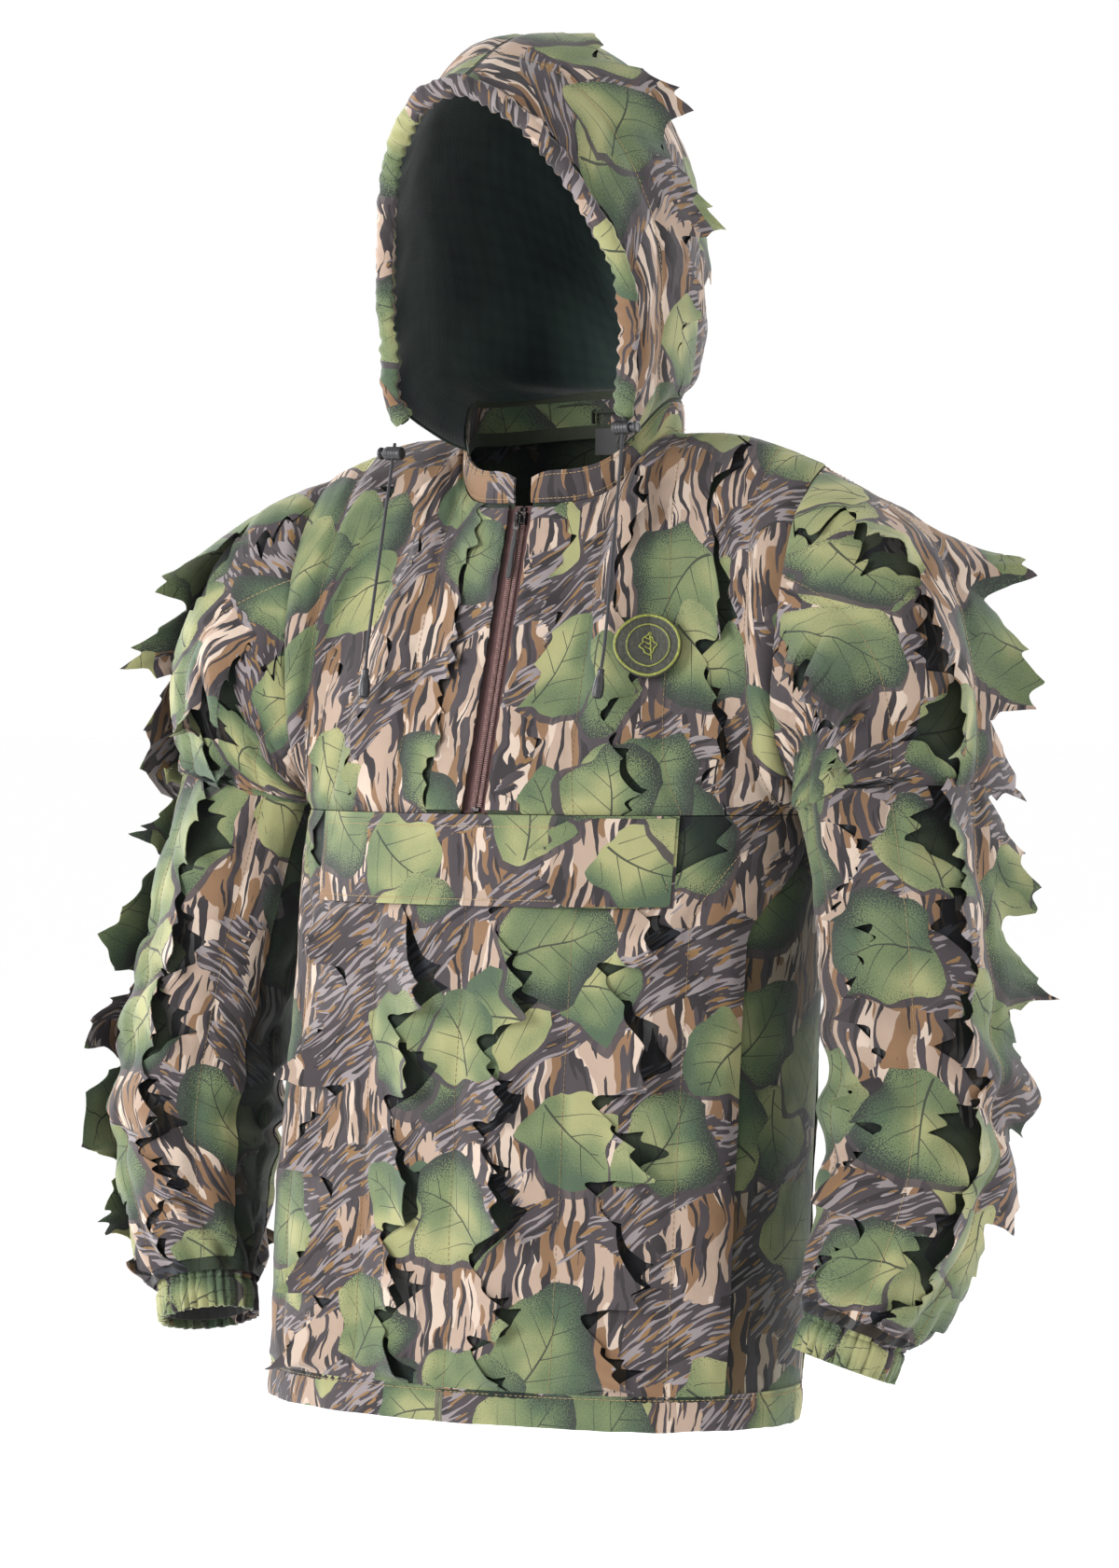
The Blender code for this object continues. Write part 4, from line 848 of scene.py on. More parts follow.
def add_light(name, azimuth, height, distance, size, power, tint=(1, 1, 1)):
    """An area light that faces the garment. azimuth: degrees from the front towards the wearer's left."""
    data = bpy.data.lights.new(name, "AREA")
    data.shape = "RECTANGLE"
    data.size, data.size_y = size
    data.energy = power
    data.color = tint
    light = bpy.data.objects.new(name, data)
    bpy.context.scene.collection.objects.link(light)
    angle = math.radians(azimuth)
    light.location = (distance * math.sin(angle), -distance * math.cos(angle), height)
    aim = Vector((0, -0.03, -0.2)) - light.location
    light.rotation_euler = aim.to_track_quat("-Z", "Y").to_euler()


def build_studio():
    scene = bpy.context.scene
    scene.world = bpy.data.worlds.new("studio")
    scene.world.use_nodes = True
    sky = scene.world.node_tree.nodes["Background"]
    sky.inputs["Color"].default_value = (1, 1, 1, 1)
    sky.inputs["Strength"].default_value = 1.0
    scene.view_settings.view_transform = "Standard"
    add_light("key", -22, 0.35, 2.6, (0.9, 1.3), 72)
    add_light("fill", 95, 0.2, 2.4, (0.7, 1.8), 18)
    add_light("rim_left", 150, 0.9, 2.2, (0.6, 1.8), 34)
    add_light("rim_right", -92, 0.3, 2.3, (0.7, 1.8), 62)
    points = [(-60, -60, -1.12), (60, -60, -1.12), (60, 60, -1.12), (-60, 60, -1.12)]
    data = bpy.data.meshes.new("studio_floor")
    data.from_pydata(points, [], [(0, 1, 2, 3)])
    floor = bpy.data.objects.new("studio_floor", data)
    bpy.context.scene.collection.objects.link(floor)
    pale, _, _ = new_material("floor_paint", roughness=1.0, colour=(0.995, 0.995, 0.995))
    data.materials.append(pale)


add_camera()
build_studio()


# ---------------------------------------------------------------- hanging cords and their fittings
CORD_PROFILE = [
    (0, 0), (0.0021, 0), (0.0030, 0.0015), (0.0026, 0.0040), (0.0034, 0.0075), (0.0043, 0.0120),
    (0.0046, 0.0170),
    (0.0044, 0.0205), (0.0036, 0.0232), (0.0018, 0.0240), (0, 0.0238),
]


def along_x(matrix):
    return matrix @ Matrix.Rotation(math.pi / 2, 4, "Y")


def build_cord(name, side):
    last = len(CORD_ROUTE) - 1
    rise = CORD_RISE[name]
    route = [(side * x, y, z + rise * (1 - k / last)) for k, (x, y, z) in enumerate(CORD_ROUTE)]
    line = through(route, np.linspace(0, 1, 61))
    points, faces = tube_mesh(line, CORD_RADIUS, 12)
    cord_body = f"cord_{name}"
    cord = mesh_object(f"hanging_drawcord_{name}", points, faces, FINISH["cord"], body_name=cord_body,
                       slot="cord")
    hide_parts(f"hanging_cord_{name}")

    down = Vector(route[1]) - Vector(route[0])
    down.normalize()
    tip = Vector(route[-1]) - Vector(route[-2])
    tip.normalize()
    bell_at = place(Vector(route[-1]) + tip * 0.0006, tip, (1, 0, 0))
    points, faces = lathe(CORD_PROFILE, 24)
    bell = mesh_object(f"cord_bell_{name}", moved(points, bell_at), faces, FINISH["plastic"], sharp=35,
                       body_name=cord_body, slot="lock_plastic")
    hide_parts(f"cord_end_{name}")

    at = place(Vector(route[0]) + down * LOCK_FROM_EXIT, -down, (side, 0, 0))
    base = along_x(at) @ Matrix.Translation((0, 0, -LOCK_LENGTH / 2 - 0.001))
    barrel = [(0, 0.0006), (0.0034, 0), (0.0050, 0.0006), (0.0056, 0.0020)]
    for k in range(4):
        z = 0.0034 + 0.0026 * k
        barrel += [(0.0056, z), (0.0053, z + 0.0003), (0.0053, z + 0.0009), (0.0056, z + 0.0012)]
    barrel += [(0.0056, 0.0148), (0.0052, 0.0158), (0.0041, 0.0160), (0.0040, 0.0150), (0.0040, 0.0022),
               (0, 0.0020)]
    points, faces = lathe(barrel, 28)
    shell = mesh_object(f"cord_lock_barrel_{name}", moved(points, base), faces, FINISH["plastic"], sharp=30,
                        body_name=f"lock_{name}", slot="lock_plastic")
    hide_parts(f"lock_barrel_{name}")
    top = LOCK_LENGTH + PLUNGER_OUT
    stem = top - PLUNGER_LENGTH - PLUNGER_HEAD
    plunger = [
        (0, stem + 0.0045), (0.0030, stem + 0.0045), (0.0030, stem), (0.0035, stem),
        (0.0035, top - PLUNGER_HEAD), (0.0046, top - PLUNGER_HEAD + 0.0001),
        (0.0050, top - PLUNGER_HEAD + 0.0006), (0.0050, top - 0.0009), (0.0044, top - 0.0002), (0.0034, top),
        (0.0030, top - 0.0004), (0, top - 0.0005),
    ]
    points, faces = lathe(plunger, 28)
    button = mesh_object(f"cord_lock_button_{name}", moved(points, base), faces, FINISH["plastic"], sharp=30,
                         body_name=f"button_{name}", slot="lock_plastic")
    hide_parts(f"lock_button_{name}")
    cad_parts[f"lock_spring_{name}"].material_slots[0].material = FINISH["steel"]


for side_name, side_sign in SIDES.items():
    build_cord(side_name, side_sign)


# ---------------------------------------------------------------- patches of the garment, with their folds
def body_folds(patch, s, t):
    """Soft folds: long ones that fan down from the chest, slack across the waist, crinkles all over."""
    low = 1 - t / patch.length
    hang = 0.0042 * np.sin(s * 34 + 1.1 + 2.2 * fractal(s * 4, t * 3, 5)) * ease(low / 0.9)
    slack = 0.0028 * fractal(s * 7 + t * 5, t * 12 - s * 4, 6)
    fine = 0.0011 * fractal(s * 40, t * 34, 7)
    inside = np.minimum(s - patch.low_s[:, None], patch.high_s[:, None] - s)
    above_hem = 0.10 + 0.90 * ease((t - 0.024) / 0.06)
    return (hang + slack + fine - 0.001) * ease(inside / 0.03) * above_hem * ease((patch.length - t) / 0.03)


def sleeve_folds(patch, s, t):
    """Creases round the elbow and gathers that run into the cuff. t is 0 at the cuff."""
    elbow = np.exp(-(((t - 0.20) / 0.10) ** 2))
    crease = 0.0055 * elbow * np.sin(t * 95 + s * 22 + 3 * fractal(s * 8, t * 8, 3))
    gather = 0.0040 * np.sin(s * 230 + 2.5 * fractal(s * 12, t * 10, 8)) * (1 - ease(t / 0.075))
    slack = 0.0042 * fractal(s * 9 - t * 6, t * 9, 4)
    shoulder = 0.0030 * np.sin(s * 40 + t * 30) * ease((t - 0.33) / 0.08)
    fine = 0.0010 * fractal(s * 45, t * 40, 9)
    fade = ease(t / 0.006) * ease((patch.length - t) / 0.012)
    return (crease + gather + slack + shoulder + fine) * fade


def hood_folds(patch, s, t):
    soft = 0.0036 * fractal(s * 9, t * 7, 21)
    radial = 0.0022 * np.sin(t * 120 + 3 * fractal(s * 10, t * 10, 22)) * (1 - ease(s / 0.05))
    fine = 0.0011 * fractal(s * 45, t * 40, 23)
    fade = ease((patch.high_s[:, None] - s) / 0.015) * ease(t / 0.012) * ease((patch.length - t) / 0.012)
    return (soft + radial + fine) * fade


def sleeve_up(u, v):
    return sleeve(u, 1 - v)


FRONT = Patch(lambda u, v: body(u, v, True), -1, 1, 0, 0, 1, 1.0, body_folds)
BACK = Patch(lambda u, v: body(u, v, False), -1, 1, 0, 0, 1, -1.0, body_folds)
SLEEVE = Patch(sleeve_up, 0.0, 1.0, 0.5, 0.008, 0.996, 1.0, sleeve_folds)
HOOD = Patch(hood, 0.0, 1.0, 0.0, 0.0, 1.0, 1.0, hood_folds, measure_u=0.5)
SLEEVES = {"left": SLEEVE, "right": SLEEVE.mirrored()}
HOODS = {"left": HOOD, "right": HOOD.mirrored()}
# Each patch's seed picks its own part of the print.
FRONT.seed, BACK.seed = 0, 2
SLEEVES["left"].seed, SLEEVES["right"].seed = 3, 4
HOODS["left"].seed, HOODS["right"].seed = 9, 10


def t_of_v(patch, v):
    return float(np.interp(v, patch.v_of_t, patch.t))


T_HEM, T_FLAP = t_of_v(FRONT, HEM_V), t_of_v(FRONT, FLAP_V)
T_FLAP_END = T_FLAP - FLAP_HEIGHT


def spread(patch, low, high, rows, cols, t_low, t_high, height=0.0):
    """Points over a patch from the edge function low to the edge function high, and their own layout."""
    t = np.linspace(t_low, t_high, rows)
    share = np.linspace(0, 1, cols)
    left = np.array([low(one) for one in t])
    right = np.array([high(one) for one in t])
    s = left[:, None] + (right - left)[:, None] * share[None]
    tt = np.repeat(t[:, None], cols, axis=1)
    return patch.at(s, tt, np.full_like(s, height)), s, tt


def edge_at(patch, u):
    """The distance across at one u, as a function of t."""
    column = np.array([np.interp(u, patch.us, row) for row in patch.across])
    return lambda t: float(np.interp(t, patch.t, column))


def side_edge(patch, sign):
    edge_u = side_panel_edge(patch.v_of_t) * sign
    column = np.array([np.interp(u, patch.us, row) for u, row in zip(edge_u, patch.across)])
    return lambda t: float(np.interp(t, patch.t, column))


def base_panel(name, node, patch, low, high, rows, cols, t_low, t_high, seed):
    points, s, t = spread(patch, low, high, rows, cols, t_low, t_high)
    made = sheet_mesh(name, points, 0.0011, FINISH["under"], pattern_grid(s, t, seed), patch.sign,
                      slot="printed_cloth")
    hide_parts(node)
    return made


def build_body_panels():
    base_panel("front_lower_cloth", "front_lower_panel", FRONT, side_edge(FRONT, -1), side_edge(FRONT, 1),
               84, 90,
               T_HEM - 0.004, T_FLAP - 0.0004, 0)
    top_t = FRONT.length - 0.0005
    for name, side in SIDES.items():
        zip_edge = lambda t, k=side: k * ZIP_HALF_GAP
        arm_edge = edge_at(FRONT, side * 1.0)
        low, high = (zip_edge, arm_edge) if side > 0 else (arm_edge, zip_edge)
        base_panel(f"chest_cloth_{name}", f"chest_panel_{name}", FRONT, low, high, 70, 60, T_FLAP + 0.0004,
                   top_t, 0)
    base_panel("back_cloth", "back_panel", BACK, side_edge(BACK, -1), side_edge(BACK, 1), 150, 84,
               T_HEM - 0.004,
               BACK.length - 0.0005, 2)


def build_side_panels():
    v = np.linspace(HEM_V, ARMPIT_SHARE - 0.004, 70)
    share = np.linspace(0, 1, 25)
    edge = side_panel_edge(v) - 0.007
    for name, side in SIDES.items():
        rows = []
        for one_v, one_edge in zip(v, edge):
            u = np.where(share <= 0.5, mix(one_edge, 1.0, 2 * share), mix(one_edge, 1.0, 2 * (1 - share)))
            rows.append(np.where((share <= 0.5)[:, None], body(u, one_v, True), body(u, one_v, False)))
        points = np.array(rows)
        walked = np.cumsum(np.linalg.norm(np.diff(points, axis=1), axis=2), axis=1)
        run = np.concatenate([np.zeros((len(v), 1)), walked], axis=1)
        flat_s = run - run[:, 12:13]
        flat_t = (v[:, None] * 0.774) * np.ones_like(flat_s)
        swell = 0.003 * fractal(flat_s * 14, flat_t * 7,
                                31) * ease(share * 5)[None] * ease((1 - share) * 5)[None]
        tuck = 0.0009 * (1 - ease(np.minimum(share, 1 - share) / 0.10))
        points = points + grid_normals(points) * (swell - tuck[None])[..., None]
        points = points * np.array((side, 1, 1))
        made = sheet_mesh(f"side_cloth_{name}", points, 0.0010, FINISH["side"],
                          pattern_grid(flat_s, flat_t, 5), side,
                          slot="side_cloth")
        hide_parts(f"side_panel_{name}")


def ring_points(v, steps):
    """The body's outline at one v, all the way round from the front centre towards the wearer's left."""
    turn = 4 * np.arange(steps) / steps
    quarter, share = turn.astype(int), turn % 1
    u = np.where(quarter % 2 == 0, share, 1 - share)
    front = (quarter == 0) | (quarter == 3)
    p = np.where(front[:, None], body(u, np.full(steps, v), True), body(u, np.full(steps, v), False))
    p[:, 0] *= np.where(quarter >= 2, -1, 1)
    return p


def build_hem():
    steps = 320
    rows = np.array([ring_points(v, steps) for v in np.linspace(0.0, HEM_V + 0.002, 9)])
    around = np.arange(steps) / steps
    length = 1.42
    s = np.repeat((around * length)[None], 9, axis=0)
    t = np.repeat(np.linspace(0, HEM_BAND, 9)[:, None], steps, axis=1)
    angle = around * 2 * math.pi
    wave = 0.0020 * fractal(np.cos(angle) * 9 + 20, np.sin(angle) * 9 + 20, 41)
    ripple = 0.0006 * np.sin(angle * 150)
    puff = np.array([0.0, 0.0009, 0.0013, 0.0015, 0.0015, 0.0014, 0.0010, -0.0004, 0.0002])
    wrapped = np.concatenate([rows[:, -1:], rows, rows[:, :1]], axis=1)
    normals = grid_normals(wrapped)[:, 1:-1]
    swell = wave[None] * np.linspace(1, 0.2, 9)[:, None] + ripple[None] * 0.5 + puff[:, None]
    points = rows + normals * swell[..., None]
    uneven = 0.0016 * fractal(np.cos(angle) * 6 + 9, np.sin(angle) * 6 + 9, 42)
    points[..., 2] += uneven[None] * np.linspace(1, 0, 9)[:, None]
    made = sheet_mesh("hem_fold", points, 0.0022, FINISH["camo"], pattern_grid(s - 0.71, t, 0), 1.0,
                      ring=True, slot="printed_cloth")
    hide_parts("hem_band")
    return points, normals


HEM_POINTS, HEM_NORMALS = build_hem()
build_body_panels()
build_side_panels()


# ---------------------------------------------------------------- leaf-cut strips
LOBE = 0.084  # from one leaf to the next along a cut
LOBE_TIP = 0.33  # how far up a leaf its tip stands
TOOTH = 0.0190  # from point to point along a leaf's edge
STRIP_THICK = 0.0007
EDGE_GAP = 0.0004  # between a strip's edge and the line that it follows
SEAMS = []  # the strips' seam lines, with their normals
STRIP_LIFT = 0.0030  # how high a strip stands off the cloth between its seam and its edge


class Cut:
    """One cut between two strips: how far it swings from its line, and how far its leaves lift."""

    def __init__(self, seed, swing=0.044, lift=(8, 28), lean=1, teeth=0.0125):
        rng = np.random.default_rng(seed)
        self.phase = rng.random()
        self.lifts = np.radians(rng.uniform(lift[0], lift[1], 24))
        self.sizes = rng.uniform(0.62, 1.05, 24)
        self.points = rng.uniform(0.50, 1.15, 96)
        self.swing, self.lean, self.seed, self.teeth = swing, lean, seed, teeth

    def line(self, t):
        """For each t: the swing, the lift's angle and how far the cut gapes. Leaves widen downwards."""
        t = np.asarray(t, float)
        bent = t + 0.010 * np.sin(t * 37 + self.phase * 50)
        place_on = bent / LOBE + self.phase
        which = np.clip(place_on.astype(int), 0, 23)
        share = place_on % 1.0
        narrowing = 1 - (np.maximum(share - LOBE_TIP, 0) / (1 - LOBE_TIP)) ** 1.35
        ramp = np.where(share < LOBE_TIP, ease(share / LOBE_TIP), narrowing)
        lobe = ramp * self.sizes[which]
        step = (bent + 0.2 * self.phase) / TOOTH + 0.35 * value_noise(t * 30, t * 0, self.seed)
        tooth = (1 - np.abs(np.sin(math.pi * step))) ** 0.8 * self.points[np.clip(step.astype(int), 0, 95)]
        swing = self.swing * (lobe - 0.42) + self.teeth * (tooth - 0.3) * (0.55 + 0.45 * ramp)
        angle = self.lifts[which] * ramp**0.7
        return swing * self.lean, angle, 0.0055 * ramp * self.sizes[which]


def strip(name, patch, node, middle, left, right, t_low, t_high, seed, half_cols=10, step=0.0020, curl=0.25,
          press=None, fades=(0.02, 0.03), rests=None, unwrap=0.0):
    """One strip sewn down its middle line. left and right are (line, cut): each edge follows its cut, and the
    strip lifts there by the cut's angle when the cut's leaves point away from it. With no cut it's sewn."""
    rows = int((t_high - t_low) / step) + 1
    t = np.linspace(t_low, t_high, rows)
    centre = middle(t)
    fade = ease((t - t_low) / fades[0]) * ease((t_high - t) / fades[1])
    ends = ease((t - t_low) / 0.012 + 0.1) * ease((t_high - t) / 0.012 + 0.1)
    share = np.linspace(0, 1, half_cols + 1)[1:]
    halves = {}
    for side, (line, cut) in ((-1, left), (1, right)):
        edge = line(t)
        angle = np.full(rows, math.radians(1.0))
        gape = EDGE_GAP
        sewn = cut is None
        if cut is not None:
            swing, lift, gape = cut.line(t)
            edge = edge + swing
            if cut.lean == side:
                angle = angle + lift * fade
                gape = EDGE_GAP
        width = np.maximum(side * (edge - centre) - gape, 0.006)
        along = share[None] * width[:, None]
        shaken = 1 + curl * fractal(along * 30 + seed, t[:, None] * 22, seed + 3)
        angles = angle[:, None] * share[None] ** 0.9 * shaken * 1.25
        if not sewn and cut.lean == side:
            angles = angles + along * unwrap * (fade * np.minimum(lift / lift.max() + 0.3, 1))[:, None]
        piece = width[:, None] / half_cols
        out = np.cumsum(piece * np.cos(angles), axis=1)
        up = np.cumsum(piece * np.sin(angles), axis=1)
        puff = STRIP_LIFT * ease(along / 0.012) * ends[:, None]
        if sewn:
            puff = puff * ease((width[:, None] - along) / 0.012)
        halves[side] = (side * out, up + puff, side * along)
    column = np.zeros((rows, 1))
    out, up, flat_out = (np.concatenate([halves[-1][k][:, ::-1], column, halves[1][k]],
                                        axis=1) for k in range(3))
    s = centre[:, None] + out
    sag = 0.30 * (np.abs(flat_out) - 0.016) * ease((np.abs(flat_out) - 0.012) / 0.03) * fade[:, None]
    tt = np.clip(t[:, None] - sag, t_low, t_high)
    up = up + 0.0005 * fractal(s * 90, tt * 90, seed + 8)
    if press is not None:
        up = up * press(s, tt)
    points = patch.at(s, tt, 0.0006 + np.maximum(up, 0))
    layout_s = centre[:, None] + flat_out
    layout_t = patch.read(patch.risen, layout_s, np.repeat(t[:, None], out.shape[1], axis=1))[..., 0]
    seam = points[:, half_cols]
    SEAMS.append((seam, grid_normals(points)[:, half_cols] * patch.sign))
    made = sheet_mesh(name, points, STRIP_THICK, FINISH["camo"],
                      pattern_grid(layout_s, layout_t, patch.seed), patch.sign,
                      sharp=60, slot="leaf_cloth")
    if node:
        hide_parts(node)
    return made


def const(value):
    return lambda t: np.full_like(np.asarray(t, float), value)


def as_array(edge):
    return lambda t: np.array([edge(one) for one in np.atleast_1d(t)])


def strip_set(prefix, patch, node, lines, t_low, t_high, seed, lift, leans, rests, swing=0.044, teeth=0.0125,
              first=None, last=None, **how):
    """Strips side by side. lines are the cuts' and edges' middle lines; a strip is sewn halfway between two.
    first and last are cuts for the outer edges, which are sewn down otherwise."""
    cuts = [first] + [Cut(seed + k, swing, lift, leans[k - 1], teeth) for k in range(1,
                                                                                     len(lines) - 1)] + [last]
    for k in range(len(lines) - 1):
        first, second = lines[k], lines[k + 1]
        middle = lambda t, a=first, b=second: (a(t) + b(t)) / 2
        strip(f"{prefix}_{k + 1}", patch, node if k == 0 else None, middle, (first, cuts[k]),
              (second, cuts[k + 1]),
              t_low, t_high, seed + 40 + k, rests=rests, **how)


def split_evenly(low, high, count):
    return [lambda t, k=k: mix(low(t), high(t), k / count) for k in range(count + 1)]


def flat_under_flap(s, t):
    """1 in the open and near 0 where the pocket's flap lies over the cloth."""
    beside = ease((np.abs(s) - FLAP_HALF_WIDTH - 0.002) / 0.012)
    below = ease((T_FLAP_END + 0.004 - t) / 0.012)
    return 0.06 + 0.94 * np.maximum(beside, below)


def flat_under_badge(s, t):
    """1 in the open and near 0 where the badge lies over the cloth."""
    badge_t = t_of_v(FRONT, BADGE_PLACE[1])
    badge_s = FRONT.s_at(BADGE_PLACE[0], np.array([badge_t]))[0]
    return 0.10 + 0.90 * ease((np.hypot(s - badge_s, t - badge_t) - BADGE_RADIUS - 0.002) / 0.014)


def build_body_strips():
    left, right = as_array(side_edge(FRONT, -1)), as_array(side_edge(FRONT, 1))
    lines = split_evenly(left, right, 5)
    toward_left = [Cut(101 + k, 0.058, (10, 36), 1, 0.0135) for k in (1, 2, 3)]
    cuts = [None, Cut(101, 0.050, (10, 36), -1, 0.0135), *toward_left, None]
    for k in range(5):
        outer = k in (0, 4)
        middle = lambda t, a=lines[k], b=lines[k + 1]: (a(t) + b(t)) / 2
        strip(f"front_strip_{k + 1}", FRONT, "leaf_layer_front" if k == 0 else None, middle,
              (lines[k], cuts[k]),
              (lines[k + 1], cuts[k + 1]), T_HEM + 0.001, T_FLAP - 0.0003 if outer else T_FLAP_END + 0.012,
              140 + k,
              press=flat_under_flap, rests="front_lower_cloth")
    top = FRONT.length - 0.0003
    for name, side in SIDES.items():
        inner, arm = const(side * (PLACKET_OUTER - 0.002)), as_array(edge_at(FRONT, side * 0.998))
        lines = split_evenly(inner, arm, 3)
        by_zip = Cut(192 + int(side), 0.018, (8, 20), -side, 0.013)
        ends = {"first": by_zip}
        if side < 0:
            lines = lines[::-1]
            ends = {"last": by_zip}
        strip_set(f"chest_strip_{name}", FRONT, f"leaf_layer_chest_{name}", lines, T_FLAP + 0.0005, top,
                  160 if side > 0 else 170, (8, 26), [1 if side > 0 else -1] * 2, f"chest_cloth_{name}",
                  swing=0.030,
                  fades=(0.06, 0.06), press=flat_under_badge, **ends)
    left, right = as_array(side_edge(BACK, -1)), as_array(side_edge(BACK, 1))
    strip_set("back_strip", BACK, "leaf_layer_back", split_evenly(left, right, 6), T_HEM + 0.001,
              BACK.length - 0.0005, 180,
              (8, 29), [-1, -1, 1, 1, 1], "back_cloth", swing=0.042, fades=(0.02, 0.08))


build_body_strips()


# ---------------------------------------------------------------- sleeves
def build_sleeves():
    for name, side in SIDES.items():
        patch = SLEEVES[name]
        rows, cols = 150, 96
        t = np.linspace(0, patch.length, rows)
        low = np.interp(t, patch.t, patch.low_s)
        high = np.interp(t, patch.t, patch.high_s)
        s = low[:, None] + (high - low)[:, None] * (np.arange(cols) / cols)[None]
        tt = np.repeat(t[:, None], cols, axis=1)
        points = patch.at(s, tt, np.zeros_like(s))
        made = sheet_mesh(f"sleeve_cloth_{name}", points, 0.0010, FINISH["under"],
                          pattern_grid(s, tt, patch.seed), patch.sign,
                          ring=True, slot="printed_cloth")
        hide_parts(f"sleeve_{name}")
        low_line = lambda t, p=patch: np.interp(t, p.t, p.low_s) * 0.86
        high_line = lambda t, p=patch: np.interp(t, p.t, p.high_s) * 0.86
        strip_set(f"sleeve_strip_{name}", patch, f"leaf_strip_sleeve_front_{name}",
                  split_evenly(low_line, high_line, 5),
                  0.008, patch.length - 0.0005, 200 if side > 0 else 230, (4, 26), [-1, -1, 1, 1],
                  f"sleeve_cloth_{name}",
                  swing=0.036, teeth=0.017, fades=(0.02, 0.15), unwrap=15.0)
        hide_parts(f"leaf_strip_sleeve_back_{name}")


def build_cuffs():
    steps = 260
    for name, side in SIDES.items():
        centre, outward, back, down = (np.asarray(x) for x in arm_frame(np.array(1.0)))
        turn = np.arange(steps) * 2 * math.pi / steps
        along = np.linspace(-0.006, CUFF_LENGTH + 0.003, 17)
        share = np.clip(along / CUFF_LENGTH, 0, 1)
        ruffle = np.sin(turn * 27 + 2.2 * np.sin(turn * 3)) * 0.6 + np.sin(turn * 41 + 1) * 0.4
        pinch = 0.6 + 1.3 * np.abs(share - 0.5) * 2
        bulge = 0.0021 * np.sin(math.pi * share)[:, None]
        radius = CUFF_RADIUS + 0.0007 + bulge + 0.0017 * pinch[:, None] * ruffle[None]
        radius = radius - 0.0022 * np.exp(-(((share - 0.10) / 0.06) ** 2))[:, None]
        points = (
            centre + down * along[:, None, None]
            + outward * (radius * np.cos(turn)[None])[..., None]
            + back * (radius * np.sin(turn)[None])[..., None]
        ) * np.array((side, 1, 1))
        s = np.repeat((turn * 0.055)[None], 17, axis=0)
        t = np.repeat(-along[:, None], steps, axis=1)
        made = sheet_mesh(f"cuff_fold_{name}", points, 0.0016, FINISH["camo"], pattern_grid(s, t, 7), side,
                          ring=True,
                          slot="printed_cloth")
        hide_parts(f"cuff_{name}")
        band = np.array([0.0036, 0.0205])
        inner_radius = CUFF_RADIUS - 0.0030 + 0.0003 * np.sin(turn * 27)[None] * np.ones((2, 1))
        ring = (
            centre + down * band[:, None, None]
            + outward * (inner_radius * np.cos(turn)[None])[..., None]
            + back * (inner_radius * np.sin(turn)[None])[..., None]
        ) * np.array((side, 1, 1))
        elastic = sheet_mesh(f"cuff_elastic_band_{name}", ring, 0.0008, FINISH["elastic"], None, side,
                             ring=True, slot="elastic")
        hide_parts(f"cuff_elastic_{name}")


build_cuffs()
build_sleeves()


# ---------------------------------------------------------------- collar and hood
def build_collar():
    ends, rows, cols = 0.055, 9, 170
    u = np.linspace(-2 + ends, 2 - ends, cols)
    share = 2 - np.abs(u)
    front = share < 1
    key = np.where(front, share, 2 - share)
    low = np.where(front[:, None], neckline(key, True), neckline(key, False))
    high = np.where(front[:, None], collar_top(key, True), collar_top(key, False))
    v = np.linspace(0, 1, rows)
    # The front ends are cut round at the top.
    from_end = np.minimum(np.arange(cols), np.arange(cols)[::-1]) / 6
    drop = 0.22 * (1 - np.clip(from_end, 0, 1)) ** 2
    points = low[None] + (high - low)[None] * (v[:, None] * (1 - drop)[None])[...,
                                                                              None] + np.array((0, 0, 0.0006))
    points[..., 0] *= np.where(u < 0, -1, 1)[None]
    run = run_along(points[4])
    s = np.repeat((run - run.mean())[None], rows, axis=0)
    t = np.repeat((v * COLLAR_HEIGHT)[:, None], cols, axis=1)
    normals = grid_normals(points)
    if np.mean(normals[:, cols // 2, 1]) < 0:
        normals = -normals
    puff = 0.0010 * np.sin(math.pi * v)[:, None] + 0.0008 * fractal(s * 40, t * 60, 51)
    points = points + normals * puff[..., None]
    sign = 1.0 if np.mean(grid_normals(points)[:, cols // 2, 1]) > 0 else -1.0
    made = sheet_mesh("collar_cloth", points, 0.0024, FINISH["camo"], pattern_grid(s, t, 8), sign,
                      slot="printed_cloth")
    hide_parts("collar_stand")
    return points, normals


def build_hood():
    for name, side in SIDES.items():
        patch = HOODS[name]
        low, high = lambda t: 0.004, lambda t, p=patch: float(np.interp(t, p.t, p.high_s)) + 0.0008
        points, s, t = spread(patch, low, high, 90, 70, 0.0, patch.length)
        points[..., 0] = side * np.maximum(side * points[..., 0], 0.0)
        made = sheet_mesh(f"hood_cloth_{name}", points, 0.0009, FINISH["under"],
                          pattern_grid(s, t, patch.seed), patch.sign,
                          slot="printed_cloth")
        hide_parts(f"hood_panel_{name}")
        points, s, t = spread(patch, low, high, 60, 48, 0.002, patch.length - 0.002, -0.0024)
        points[..., 0] = side * np.maximum(side * points[..., 0], 0.0006)
        lining = sheet_mesh(f"hood_lining_{name}", points, 0.0006, FINISH["lining"], pattern_grid(s, t, 1),
                            patch.sign,
                            slot="lining")
        start, end = const(0.011), lambda t, p=patch: np.interp(t, p.t, p.high_s) - 0.002
        strip_set(f"hood_strip_{name}", patch, f"leaf_layer_hood_{name}", split_evenly(start, end, 3), 0.002,
                  patch.length - 0.002, 300 if side > 0 else 330, (5, 18), [1, 1], f"hood_cloth_{name}",
                  swing=0.034, teeth=0.015, unwrap=4.0,
                  fades=(0.13, 0.10))


